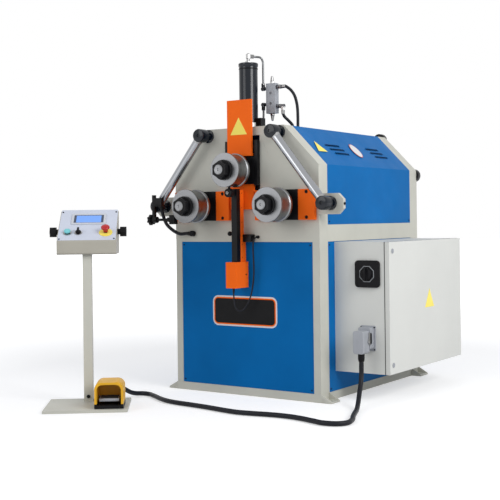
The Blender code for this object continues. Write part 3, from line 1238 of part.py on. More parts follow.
def make_switch():
    x, z = SWITCH_CENTRE
    wall = at(CABINET_FRONT) - GAP
    half = SWITCH_SIZE / 2
    plate = piece("main_switch_plate", slab([rounded(rectangle(x - half, x + half, z - half, z + half), 0.016, 4)],
                                            "Y", wall - SWITCH_THICKNESS, wall), BLACK_PLASTIC)
    bevelled(plate, 0.0025, 2)
    face = wall - SWITCH_THICKNESS - GAP
    turn = carrier("main_switch_axis", (x, face, z))
    knob = piece("main_switch_knob", rod((x, face, z), (x, face - SWITCH_KNOB_LENGTH, z), SWITCH_KNOB_RADIUS,
                                         SWITCH_KNOB_RADIUS - 0.003, 32), BLACK_PLASTIC, turn)
    width, length, height = SWITCH_GRIP
    join(knob, box((x - width / 2, face - SWITCH_KNOB_LENGTH - height, z - length / 2),
                   (x + width / 2, face - SWITCH_KNOB_LENGTH + 0.004, z + length / 2)))


def make_connector():
    x, z = CONNECTOR_CENTRE
    wall = at(CABINET_FRONT) - GAP
    width, depth, height = CONNECTOR_BASE
    base = piece("connector_base", slab([rounded(rectangle(x - width / 2, x + width / 2, z - height / 2, z + height / 2),
                                                 0.006, 3)], "Y", wall - depth, wall), ALUMINIUM)
    face = wall - depth - GAP
    width, depth, height = CONNECTOR_HOOD
    top = z + height / 2 - CONNECTOR_DROP + 0.012
    bottom = top - height
    hood = piece("connector_hood", slab([rounded(rectangle(x - width / 2, x + width / 2, bottom, top), 0.010, 4)], "Y",
                                        face - depth, face), ALUMINIUM)
    bevelled(hood, 0.003, 2)
    gland = (x, face - depth / 2)
    join(hood, turned([(0, 0), (FLOOR_CABLE_RADIUS + 0.0015, 0), (GLAND_RADIUS, GLAND_LENGTH * 0.45),
                       (GLAND_RADIUS, GLAND_LENGTH + 0.004), (0, GLAND_LENGTH + 0.004)],
                      (*gland, bottom - GLAND_LENGTH), (0, 0, 1), 20))
    return gland, bottom - GLAND_LENGTH


# Inside the lower housing

def make_power_unit():
    width, depth, height = TANK_SIZE
    low = BASE_HEIGHT + GAP
    cross = 0.005
    tank = piece("power_unit", box((-width / 2, -CROSS_BEAM / 2 + cross, low),
                                       (width / 2, -CROSS_BEAM / 2 + cross + depth, low + height)), GREY_PAINT)
    bevelled(tank, 0.010, 2)
    middle = -CROSS_BEAM / 2 + cross + depth / 2
    top = low + height - 0.004
    join(tank, turned([(0, 0), (PUMP_FLANGE_RADIUS, 0), (PUMP_FLANGE_RADIUS, PUMP_FLANGE_HEIGHT),
                       (PUMP_MOTOR_RADIUS, PUMP_FLANGE_HEIGHT),
                       (PUMP_MOTOR_RADIUS, PUMP_FLANGE_HEIGHT + PUMP_MOTOR_LENGTH - 0.012),
                       (PUMP_MOTOR_RADIUS - 0.012, PUMP_FLANGE_HEIGHT + PUMP_MOTOR_LENGTH),
                       (0, PUMP_FLANGE_HEIGHT + PUMP_MOTOR_LENGTH)], (-0.080, middle, top), (0, 0, 1), 24))
    join(tank, box((-0.010, middle - 0.05, top + 0.12), (0.040, middle + 0.05, top + 0.20)))


# Console

def make_stand(console):
    width, depth, thickness = STAND_PLATE
    stand = piece("console_stand", box((-width / 2, -depth / 2, 0), (width / 2, depth / 2, thickness)), GREY_PAINT,
                  console)
    px, py = POST_CENTRE
    half = POST_SIZE / 2
    join(stand, box((px - half, py - half, thickness - 0.004), (px + half, py + half, POST_TOP)))
    back, axis_height = TILT_AXIS
    plate = [(py - half + 0.002, POST_TOP - 0.020), (py + half, POST_TOP - 0.020), (back + 0.014, axis_height - 0.006),
             (back + 0.014, axis_height + 0.012), (back - 0.016, axis_height + 0.012)]
    join(stand, slab([plate], "X", px - HEAD_PLATE / 2, px + HEAD_PLATE / 2))
    inner = CONSOLE_WIDTH / 2 - CONSOLE_WALL - GAP
    join(stand, rod((px - inner, back, axis_height), (px + inner, back, axis_height), TILT_TUBE_RADIUS, sides=20))


def console_profile(inset):
    """The box's side outline, moved in by inset on every side."""
    slope = math.atan2(CONSOLE_BACK_TOP - CONSOLE_FRONT_TOP, CONSOLE_BACK - CONSOLE_FRONT)
    front = CONSOLE_FRONT + inset
    back = CONSOLE_BACK - inset
    bottom = CONSOLE_BOTTOM + inset
    drop = inset / math.cos(slope)
    rise = math.tan(slope)
    return [(front, bottom), (back, bottom), (back, CONSOLE_BACK_TOP - drop - inset * rise),
            (front, CONSOLE_FRONT_TOP - drop + inset * rise)]


def make_console(console):
    back, axis_height = TILT_AXIS
    tilt = carrier("console_tilt_axis", (POST_CENTRE[0], back, axis_height), console)
    px = POST_CENTRE[0]
    half = CONSOLE_WIDTH / 2
    shell = piece("console_box", slab([rounded(console_profile(0), CONSOLE_CORNER, 3)], "X", px - half, px + half),
                  CABINET_PAINT, tilt)
    inner = half - CONSOLE_WALL
    cut(shell, slab([console_profile(CONSOLE_WALL)], "X", px - inner, px + inner))
    cut(shell, box((px - POST_SIZE / 2 - 0.006, CONSOLE_FRONT + 0.008, CONSOLE_BOTTOM - 0.01),
                   (px + POST_SIZE / 2 + 0.006, CONSOLE_BACK - 0.030, CONSOLE_BOTTOM + 0.01)))

    slope = math.atan2(CONSOLE_BACK_TOP - CONSOLE_FRONT_TOP, CONSOLE_BACK - CONSOLE_FRONT)
    panel = Matrix.Translation((px, CONSOLE_FRONT, CONSOLE_FRONT_TOP)) @ Matrix.Rotation(slope, 4, "X")

    def on_panel(mesh):
        """Move a mesh drawn across, up the slope and out of the panel onto the panel."""
        mesh.transform(panel)
        return mesh

    width, height = DISPLAY_SIZE
    frame = DISPLAY_FRAME
    rise = DISPLAY_RISE
    display = piece("display", on_panel(slab([rounded(rectangle(-width / 2 - frame, width / 2 + frame,
                                                                rise - height / 2 - frame, rise + height / 2 + frame),
                                                      0.004, 2)], "Z", GAP, DISPLAY_THICKNESS)), ALUMINIUM, tilt)
    cut(display, on_panel(box((-width / 2, rise - height / 2, DISPLAY_THICKNESS - 0.0025),
                              (width / 2, rise + height / 2, DISPLAY_THICKNESS + 0.01))))

    for side, word in ((-1, "left"), (1, "right")):
        face = px + side * (half + GAP)
        knob_carrier = carrier(f"{word}_clamp_knob_axis", (face, back, axis_height), tilt)
        edges = sorted((face + side * 0.012, face + side * CLAMP_KNOB_LENGTH))
        knob = piece(f"{word}_clamp_knob", slab([lobed((back, axis_height), CLAMP_KNOB_RADIUS, CLAMP_KNOB_LOBES, 0.003, 6)],
                                                "X", *edges, smooth=True), BLACK_PLASTIC, knob_carrier)
        join(knob, rod((face, back, axis_height), (face + side * 0.016, back, axis_height), 0.013, sides=20))

    stem = BUTTON_HOLE_RADIUS - SLIDING_GAP
    base = COLLAR_THICKNESS + GAP
    for across, radius in ((START_ACROSS, START_COLLAR_RADIUS), (SELECTOR_ACROSS, SELECTOR_COLLAR_RADIUS),
                           (STOP_ACROSS, STOP_COLLAR_RADIUS)):
        foot = (across, CONTROL_RISE)
        join(shell, on_panel(rod((*foot, -0.001), (*foot, COLLAR_THICKNESS), radius, sides=20)))
        cut(shell, on_panel(rod((*foot, -0.020), (*foot, 0.020), BUTTON_HOLE_RADIUS, sides=20)))

    def control(name, across, profile, material):
        axis = carrier(name + "_axis", panel @ Vector((across, CONTROL_RISE, 0)), tilt)
        return piece(name, on_panel(turned(profile, (across, CONTROL_RISE, 0), (0, 0, 1), 24)), material, axis)

    low = -0.012
    up = base + BUTTON_TRAVEL + 0.001
    control("start_button", START_ACROSS,
            [(0, low), (stem, low), (stem, up), (START_RADIUS, up), (START_RADIUS, up + START_HEIGHT * 0.6),
             (START_RADIUS - 0.003, up + START_HEIGHT * 0.75), (0, up + START_HEIGHT * 0.75)], CYAN_PLASTIC)
    selector = control("selector", SELECTOR_ACROSS,
                       [(0, low), (stem, low), (stem, base), (SELECTOR_RADIUS, base), (SELECTOR_RADIUS, base + 0.006),
                        (0, base + 0.006)], BLACK_PLASTIC)
    join(selector, on_panel(box((SELECTOR_ACROSS - 0.0045, CONTROL_RISE - 0.0125, base + 0.003),
                                (SELECTOR_ACROSS + 0.0045, CONTROL_RISE + 0.0125, base + SELECTOR_HEIGHT))))
    up = base + STOP_TRAVEL + 0.001
    control("stop_button", STOP_ACROSS,
            [(0, low), (stem, low), (stem, up), (STOP_STEM_RADIUS, up), (STOP_STEM_RADIUS, up + STOP_STEM),
             (STOP_RADIUS - 0.002, up + STOP_STEM + 0.003), (STOP_RADIUS, up + STOP_STEM + 0.008),
             (STOP_RADIUS - 0.004, up + STOP_STEM + 0.014), (STOP_RADIUS - 0.011, up + STOP_STEM + 0.018),
             (0, up + STOP_STEM + 0.019)], RED_PLASTIC)


def make_pedal(console):
    cx, cy = PEDAL_CENTRE
    width, depth, height = PEDAL_SIZE
    floor = STAND_PLATE[2] + GAP
    left = cx - width / 2
    right = cx + width / 2
    top = floor + height
    wall = PEDAL_WALL
    front = cy - depth / 2
    back = cy + depth / 2
    outline = arch(left, right, floor, top, PEDAL_CORNER)
    hood = piece("pedal_hood", slab([outline], "Y", front, back), YELLOW_PAINT, console)
    inner = arch(left + wall, right - wall, floor + PEDAL_BASE, top - wall, PEDAL_CORNER - wall * 0.6)
    cut(hood, slab([inner], "Y", front - 0.01, back - wall))
    join(hood, rod((cx, back - 0.004, floor + PEDAL_GLAND_HEIGHT), (cx, back + 0.010, floor + PEDAL_GLAND_HEIGHT),
                   GLAND_RADIUS, sides=20))

    width, depth, thickness = TREADLE_SIZE
    hinge = (back - wall - TREADLE_SETBACK, floor + TREADLE_HEIGHT)
    tread = carrier("treadle_axis", (cx, *hinge), console)
    treadle = piece("treadle", box((cx - width / 2, hinge[0] - depth, hinge[1] - thickness / 2),
                                   (cx + width / 2, hinge[0], hinge[1] + thickness / 2)), BLACK_RUBBER, tread)
    reach = PEDAL_SIZE[0] / 2 - wall - GAP
    join(treadle, rod((cx - reach, *hinge), (cx + reach, *hinge), TREADLE_HINGE_RADIUS, sides=16))
    return floor + PEDAL_GLAND_HEIGHT


def arch(left, right, bottom, top, radius):
    """An outline with square lower corners and round upper ones."""
    points = [(left, bottom), (right, bottom)]
    for cx, start in ((right - radius, 0), (left + radius, math.pi / 2)):
        for step in range(7):
            turn = start + math.pi / 2 * step / 6
            points.append((cx + radius * math.cos(turn), top - radius + radius * math.sin(turn)))
    return points


# Cables

def make_cables(gland, gland_bottom, pedal_cable_height):
    turn = Matrix.Rotation(CONSOLE_TURN, 3, "Z")
    home = Vector((CONSOLE_PLACE[0], at(CONSOLE_PLACE[1]), 0))

    def beside_console(across, back, height):
        return home + turn @ Vector((across, back, height))

    cx, cy = PEDAL_CENTRE
    rear = cy + PEDAL_SIZE[1] / 2 + 0.010 + GAP
    lie = FLOOR_CABLE_RADIUS + GAP
    gx, gy = gland
    start = gland_bottom - 2 * GAP
    route = [(gx, gy, start), (gx, gy, start - 0.030), (gx + 0.004, gy - 0.011, start - 0.072),
             (gx + 0.014, gy - 0.040, start - 0.113), (gx + 0.028, gy - 0.086, start - 0.146),
             (0.622, at(-0.075), lie + 0.006), (0.652, at(-0.150), lie), (0.694, at(-0.250), lie),
             (0.728, at(-0.325), lie), (0.734, at(-0.385), lie), (0.690, at(-0.424), lie), (0.630, at(-0.422), lie),
             (0.560, at(-0.398), lie), (0.470, at(-0.383), lie), (0.383, at(-0.388), lie), (0.251, at(-0.412), lie),
             (0.150, at(-0.402), lie), (0.060, at(-0.384), lie), (-0.042, at(-0.371), lie), (-0.110, at(-0.364), lie),
             (-0.180, at(-0.350), lie), (-0.250, at(-0.318), lie), (-0.320, at(-0.276), lie),
             (-0.390, at(-0.246), lie), beside_console(cx + 0.090, rear + 0.190, 0.020),
             beside_console(cx + 0.030, rear + 0.110, pedal_cable_height - 0.016),
             beside_console(cx, rear + 0.040, pedal_cable_height),
             beside_console(cx, rear + GAP, pedal_cable_height)]
    piece("floor_cable", tube(route, FLOOR_CABLE_RADIUS, spacing=0.038), BLACK_RUBBER)

    gauge_x = GAUGE_GLAND_X
    gauge_z = WINDOW_TOP + GAUGE_GLAND_RISE
    exit_y = at(-GAUGE_GLAND_LENGTH)
    bottom = ENCODER_TOP - ENCODER_SIZE[2] - GAP
    route = [(gauge_x, exit_y, gauge_z), (gauge_x - 0.001, exit_y - 0.012, gauge_z - 0.003),
             (gauge_x - 0.003, exit_y - 0.022, gauge_z - 0.022), (gauge_x - 0.005, exit_y - 0.022, gauge_z - 0.060),
             (gauge_x - 0.008, exit_y - 0.014, gauge_z - 0.110), (gauge_x - 0.009, exit_y - 0.012, gauge_z - 0.165),
             (gauge_x - 0.014, exit_y - 0.014, gauge_z - 0.220), (gauge_x - 0.026, exit_y - 0.018, gauge_z - 0.275),
             (gauge_x - 0.046, exit_y - 0.026, gauge_z - 0.318), (gauge_x - 0.068, exit_y - 0.036, gauge_z - 0.338),
             (-0.010, exit_y - 0.044, gauge_z - 0.326), (-0.017, at(-0.064), gauge_z - 0.290),
             (-0.018, at(-0.066), bottom - 0.025), (-0.018, at(-0.066), bottom)]
    cable = piece("gauge_cable", tube(route, GAUGE_CABLE_RADIUS, spacing=0.016), BLACK_RUBBER)
    join(cable, rod((gauge_x, exit_y - 0.001, gauge_z), (gauge_x, at(-GAP), gauge_z), GAUGE_GLAND_RADIUS, sides=16))


def build():
    make_base()
    make_main_frame()
    make_panels()
    make_upper_cover()
    spread = LOWER_ROLL_SPACING / 2
    for word, side in (("left", -1), ("right", 1)):
        make_bearing_block(f"{word}_bearing_block", side * spread)
        make_roll(f"{word}_roll", side * spread, LOWER_ROLL_HEIGHT, BARREL_LENGTH - 0.020, None)
    make_clamp_plates()
    make_gibs()
    make_top_slide()
    make_pipes(make_cylinder())
    make_tie_rods()
    make_gauge()
    make_guide()
    make_cabinet()
    make_switch()
    gland, gland_bottom = make_connector()
    make_power_unit()

    console = carrier("console_place", (0, 0, 0))
    console.location = (CONSOLE_PLACE[0], at(CONSOLE_PLACE[1]), 0)
    console.rotation_euler = (0, 0, CONSOLE_TURN)
    make_stand(console)
    make_console(console)
    pedal_cable_height = make_pedal(console)
    make_cables(gland, gland_bottom, pedal_cable_height)


build()
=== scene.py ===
"""Looks of the profile bending machine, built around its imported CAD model.

Every piece is drawn in the frame's own coordinates, in metres, and rides on a CAD body.
"""

import json
import math

import bmesh
import bpy
from mathutils import Matrix, Vector


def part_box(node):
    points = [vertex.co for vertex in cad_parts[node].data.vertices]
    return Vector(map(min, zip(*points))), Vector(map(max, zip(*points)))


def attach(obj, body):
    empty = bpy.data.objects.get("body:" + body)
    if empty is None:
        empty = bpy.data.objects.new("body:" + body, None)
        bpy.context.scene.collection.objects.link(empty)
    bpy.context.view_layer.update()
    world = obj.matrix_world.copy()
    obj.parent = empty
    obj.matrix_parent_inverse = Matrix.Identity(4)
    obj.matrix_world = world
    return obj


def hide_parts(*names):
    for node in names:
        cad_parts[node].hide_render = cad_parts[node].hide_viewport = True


bl_info = {
    "name": "Profile bending machine",
    "version": (1, 0, 0),
    "blender": (4, 5, 0),
    "location": "3D View > Sidebar > Bender",
    "description": "Builds the visual model of a three-roll profile bending machine",
    "category": "Object",
}

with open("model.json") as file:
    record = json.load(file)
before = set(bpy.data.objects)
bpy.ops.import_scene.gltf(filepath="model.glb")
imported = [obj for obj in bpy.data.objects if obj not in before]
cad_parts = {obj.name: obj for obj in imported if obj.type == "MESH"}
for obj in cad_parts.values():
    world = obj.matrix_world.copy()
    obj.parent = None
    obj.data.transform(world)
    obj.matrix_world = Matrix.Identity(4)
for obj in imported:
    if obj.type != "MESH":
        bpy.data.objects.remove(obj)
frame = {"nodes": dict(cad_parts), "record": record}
NODES = frame["nodes"]
BODY = {node: body for body, nodes in frame["record"]["behaviour"]["bodies"].items() for node in nodes}
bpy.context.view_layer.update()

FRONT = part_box("base_frame")[0].y
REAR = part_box("base_frame")[1].y
ROLLS = ("left_roll", "right_roll", "top_roll")
FLAT_AREA = 0.004  # square metres from which a flat region is shaded flat
SAME_PLANE = 0.99995  # cosine between the normals of faces in one flat region
MERGE = 2e-5
BEVEL_SEGMENTS = 3
CYLINDER_TOP = 1.541
VALVE_X, VALVE_PLUGS = 0.093, (1.352, 1.400)
CONTROL_Y, START_X, SELECTOR_X, STOP_X = 0.062, -0.088, -0.040, 0.082
REAR_BOSSES = ((0.187, 1.226), (0.378, 1.032))
NAME_PLATE = (-0.185, 0.174, 0.318, 0.459)
SLOPE_TOP, SLOPE_BOTTOM = Vector((0.220, 0, 1.240)), Vector((0.400, 0, 1.056))
COVER_WALL = 0.003
CONSOLE = Matrix.Translation((-0.436, -1.097, 0)) @ Matrix.Rotation(math.radians(37.5), 4, "Z")


# Settings

def number_setting(name, description, default, **kind):
    """A described number; kind gives its unit or subtype."""
    return bpy.props.FloatProperty(name=name, description=description, default=default, **kind)


def length_setting(name, description, default):
    return number_setting(name, description, default, unit="LENGTH")


def colour_setting(name, description, default):
    return bpy.props.FloatVectorProperty(name=name, description=description, default=default, size=3,
                                         subtype="COLOR")


class RoomSettings(bpy.types.PropertyGroup):
    """Floor, lights and camera."""

    floor_size: length_setting("Floor size", "Side of the square floor", 60.0)
    floor_colour: colour_setting("Floor colour", "Colour of the pale floor", (0.66, 0.66, 0.66))
    floor_glow: number_setting("Floor glow", "Light that the camera sees in the floor itself", 0.46)
    fade_start: length_setting("Fade start", "Where the floor begins to fade to white", 1.6)
    fade_end: length_setting("Fade end", "Where the floor has faded to white", 5.0)
    key_power: number_setting("Key light", "Power of the large light on the right", 146.0, unit="POWER")
    fill_power: number_setting("Fill light", "Power of the light in front", 48.0, unit="POWER")
    surround: number_setting("Surround", "Strength of the light from all round", 0.57)
    lens: number_setting("Lens", "Focal length of the camera in millimetres", 74.78)


class FinishSettings(bpy.types.PropertyGroup):
    """Colours that a user would change."""

    blue: colour_setting("Sheet metal", "Paint of the panels and the cover", (0.003, 0.138, 0.410))
    grey: colour_setting("Frame", "Paint of the frame and the stand", (0.56, 0.555, 0.490))
    cabinet: colour_setting("Cabinet", "Paint of the electrical cabinet", (0.67, 0.675, 0.640))
    orange: colour_setting("Orange parts", "Paint of clamps, covers and gauge", (1.0, 0.150, 0.010))
    yellow: colour_setting("Pedal", "Colour of the foot pedal's hood", (0.78, 0.42, 0.020))
    wear: number_setting("Wear", "Share of the paint's edges that is chipped", 0.25, subtype="FACTOR")


class RollSettings(bpy.types.PropertyGroup):
    """Bending rolls and their nuts."""

    radius: length_setting("Roll radius", "Outer radius of a roll", 0.0775)
    groove: length_setting("Groove radius", "Radius between the two rims", 0.0700)
    rim: length_setting("Rim", "Width of each rim", 0.014)
    chamfer: length_setting("Chamfer", "Chamfer on the turned edges", 0.0015)
    sides: bpy.props.IntProperty(name="Nut sides", description="Flats on each spindle nut", default=6, min=4)


class SheetSettings(bpy.types.PropertyGroup):
    """Edges and slots of the sheet metal."""

    edge: length_setting("Edge radius", "Rounding of folded and cut edges", 0.0012)
    lip: length_setting("Slot lip", "Height of the raised lip around a slot", 0.0008)


class ScrewSettings(bpy.types.PropertyGroup):
    """Socket head screws."""

    head: length_setting("Head radius", "Radius of a screw head of size one", 0.0040)
    height: length_setting("Head height", "Height of a screw head of size one", 0.0030)
    socket: number_setting("Socket", "Hexagon socket as a share of the head", 0.52, subtype="FACTOR")


SETTINGS = {"bender_room": RoomSettings, "bender_finish": FinishSettings, "bender_rolls": RollSettings,
            "bender_sheet": SheetSettings, "bender_screws": ScrewSettings}


# Mesh makers: each returns a bmesh drawn in the frame's coordinates

def closed(bm):
    """A shell whose faces all point outwards."""
    bmesh.ops.recalc_face_normals(bm, faces=bm.faces[:])
    return bm


def block(low, high):
    """A box between two corners."""
    bm = bmesh.new()
    size = [b - a for a, b in zip(low, high)]
    middle = [(a + b) / 2 for a, b in zip(low, high)]
    bmesh.ops.create_cube(bm, size=1.0, matrix=Matrix.LocRotScale(middle, None, size))
    return bm


def turned(profile, base, axis=(0, 1, 0), steps=64):
    """Points (radius, height) turned about an axis; they start and end on the axis or form a ring."""
    bm = bmesh.new()
    rings = []
    for radius, height in profile:
        if radius < 1e-6:
            rings.append([bm.verts.new((0, 0, height))])
        else:
            rings.append([bm.verts.new((radius * math.cos(2 * math.pi * i / steps),
                                        radius * math.sin(2 * math.pi * i / steps), height))
                          for i in range(steps)])
    if len(rings[0]) > 1:
        rings.append(rings[0])
    for here, there in zip(rings, rings[1:]):
        for i in range(steps):
            j = (i + 1) % steps
            corners = [here[i % len(here)], here[j % len(here)], there[j % len(there)], there[i % len(there)]]
            face = list(dict.fromkeys(corners))
            if len(face) > 2:
                bm.faces.new(face)
    place = Matrix.Translation(base) @ Vector(axis).to_track_quat("Z", "Y").to_matrix().to_4x4()
    bm.transform(place)
    return closed(bm)


def round_bar(start, end, radius, end_radius=None, chamfer=0.0008, steps=32):
    """A round bar between two points with chamfered ends."""
    start, end = Vector(start), Vector(end)
    length = (end - start).length
    far = radius if end_radius is None else end_radius
    cut = min(chamfer, length / 3, radius / 2)
    profile = [(0, 0), (radius - cut, 0), (radius, cut), (far, length - cut), (far - cut, length),
               (0, length)]
    return turned(profile, start, end - start, steps)


def extruded(outline, axis, low, high):
    """A closed outline of (a, b) points pushed along an axis; a and b keep the order X, Y, Z."""
    place = {"X": lambda a, b, c: (c, a, b), "Y": lambda a, b, c: (a, c, b), "Z": lambda a, b,
             c: (a, b, c)}[axis]
    bm = bmesh.new()
    near = [bm.verts.new(place(a, b, low)) for a, b in outline]
    far = [bm.verts.new(place(a, b, high)) for a, b in outline]
    bm.faces.new(near)
    bm.faces.new(far)
    for i in range(len(outline)):
        j = (i + 1) % len(outline)
        bm.faces.new((near[i], near[j], far[j], far[i]))
    return closed(bm)


def rounded(left, right, low, high, radius, steps=6):
    """A rectangle's outline with round corners."""
    points = []
    for a, b, start in ((right, high, 0), (left, high, 1), (left, low, 2), (right, low, 3)):
        middle = (a - math.copysign(radius, a - (left + right) / 2),
                  b - math.copysign(radius, b - (low + high) / 2))
        for i in range(steps + 1):
            turn = math.pi / 2 * (start + i / steps)
            points.append((middle[0] + radius * math.cos(turn), middle[1] + radius * math.sin(turn)))
    return points


def polygon(centre, radius, sides, turn=0.0):
    """A regular outline."""
    return [(centre[0] + radius * math.cos(turn + 2 * math.pi * i / sides),
             centre[1] + radius * math.sin(turn + 2 * math.pi * i / sides)) for i in range(sides)]


def swept(points, radius, steps=16):
    """A round tube along a smooth path, with closed ends."""
    path = smooth(points, 10)
    bm = bmesh.new()
    turns = [2 * math.pi * k / steps for k in range(steps)]
    rings = []
    side = None
    for i, here in enumerate(path):
        run = (path[min(i + 1, len(path) - 1)] - path[max(i - 1, 0)]).normalized()
        if side is None:
            side = run.orthogonal().normalized()
        side = (side - run * side.dot(run)).normalized()
        up = run.cross(side)
        rings.append([bm.verts.new(here + radius * (side * math.cos(turn) + up * math.sin(turn)))
                      for turn in turns])
    for here, there in zip(rings, rings[1:]):
        for k in range(steps):
            bm.faces.new((here[k], here[(k + 1) % steps], there[(k + 1) % steps], there[k]))
    bm.faces.new(rings[0])
    bm.faces.new(rings[-1])
    return closed(bm)


def smooth(points, steps):
    """Points along a smooth curve through a route's own points."""
    knots = [Vector(p) for p in points]
    knots = [2 * knots[0] - knots[1]] + knots + [2 * knots[-1] - knots[-2]]
    fine = []
    for a, b, c, d in zip(knots, knots[1:], knots[2:], knots[3:]):
        for step in range(steps):
            t = step / steps
            fine.append(0.5 * (2 * b + (c - a) * t + (2 * a - 5 * b + 4 * c - d) * t ** 2
                               + (3 * b - a - 3 * c + d) * t ** 3))
    fine.append(knots[-2])
    return fine


def moved(bm, matrix):
    bm.transform(matrix)
    return bm


def combined(*parts):
    """Several bmeshes as one."""
    whole = bmesh.new()
    for part in parts:
        mesh = bpy.data.meshes.new("part")
        part.to_mesh(mesh)
        part.free()
        whole.from_mesh(mesh)
        bpy.data.meshes.remove(mesh)
    return whole


def carved(bm, *tools):
    """A bmesh with other shapes taken away."""
    holder = plain_object("carved", bm)
    cutters = []
    for tool in tools:
        cutter = plain_object("tool", tool)
        cutters.append(cutter)
        modifier = holder.modifiers.new("carve", "BOOLEAN")
        modifier.operation = "DIFFERENCE"
        modifier.solver = "EXACT"
        modifier.object = cutter
    result = evaluated(holder)
    for cutter in cutters:
        bpy.data.objects.remove(cutter)
    return result


def evaluated(obj):
    """What an object's modifiers make of it; the object itself is removed."""
    bpy.context.view_layer.update()
    mesh = bpy.data.meshes.new_from_object(obj.evaluated_get(bpy.context.evaluated_depsgraph_get()))
    bm = bmesh.new()
    bm.from_mesh(mesh)
    bpy.data.objects.remove(obj)
    bpy.data.meshes.remove(mesh)
    return bm


def plain_object(name, bm):
    """An object in the scene that no CAD body carries."""
    mesh = bpy.data.meshes.new(name)
    bm.to_mesh(mesh)
    bm.free()
    obj = bpy.data.objects.new(name, mesh)
    bpy.context.scene.collection.objects.link(obj)
    return obj


def cad_copy(node):
    """The CAD node's own shape with its loose triangles merged."""
    bm = bmesh.new()
    bm.from_mesh(NODES[node].data)
    bmesh.ops.remove_doubles(bm, verts=bm.verts[:], dist=MERGE)
    return bm


def centre_of(node):
    """The middle of a CAD node's box in X and Z."""
    low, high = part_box(node)
    return (low.x + high.x) / 2, (low.z + high.z) / 2


# Pieces

def shaded(bm):
    """Smooth shading, but flat on large flat regions, whose normals then stay true beside rounded edges."""
    bm.normal_update()
    seen = set()
    for start in bm.faces:
        start.smooth = True
    for start in bm.faces:
        if start in seen:
            continue
        seen.add(start)
        region, waiting = [], [start]
        while waiting:
            face = waiting.pop()
            region.append(face)
            for other in (f for edge in face.edges for f in edge.link_faces):
                if other not in seen and other.normal.dot(start.normal) > SAME_PLANE:
                    seen.add(other)
                    waiting.append(other)
        if sum(face.calc_area() for face in region) > FLAT_AREA:
            for face in region:
                face.smooth = False
    return bm


def add(name, bm, carrier, finishes, stands_for=(), edge=0.0, crease=35):
    """A finished piece that rides on a CAD body, or on the body of a CAD node.

    A second finish whose name ends in _edge goes on the rounded edges.
    """
    mesh = bpy.data.meshes.new(name)
    shaded(bm).to_mesh(mesh)
    bm.free()
    for finish in finishes:
        mesh.materials.append(LOOKS[finish])
    obj = bpy.data.objects.new(name, mesh)
    bpy.context.scene.collection.objects.link(obj)
    if edge:
        bevel = obj.modifiers.new("edge", "BEVEL")
        bevel.width = edge
        bevel.segments = BEVEL_SEGMENTS
        bevel.limit_method = "ANGLE"
        bevel.angle_limit = math.radians(crease)
        bevel.harden_normals = True
        bevel.miter_outer = "MITER_ARC"
        if len(finishes) == 2 and finishes[1].endswith("_edge"):
            bevel.material = 1
    else:
        smooth_faces = [face.use_smooth for face in mesh.polygons]
        mesh.set_sharp_from_angle(angle=math.radians(crease))
        mesh.polygons.foreach_set("use_smooth", smooth_faces)
    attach(obj, BODY.get(carrier, carrier))
    if stands_for:
        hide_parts(*stands_for)
    return obj


def refined(node, finishes, edge, rule=None, level=None):
    """A CAD node redrawn with rounded edges; rule gives a face's finish from its centre and its normal.

    Faces that cross the height given as level are cut there first.
    """
    bm = cad_copy(node)
    if level:
        bmesh.ops.bisect_plane(bm, geom=[*bm.verts, *bm.edges, *bm.faces], plane_co=(0, 0, level),
                               plane_no=(0, 0, 1))
    bm.normal_update()
    if rule:
        for face in bm.faces:
            face.material_index = rule(face.calc_center_median(), face.normal)
    obj = add(node + "_body", bm, node, finishes, (node,), edge)
    if rule and edge:
        obj.modifiers["edge"].material = -1
    return obj


# Materials

def link(tree, source, target):
    tree.links.new(source, target)


def preset(node, values):
    """Values for a node's inputs, by name."""
    for name, value in values.items():
        node.inputs[name].default_value = value


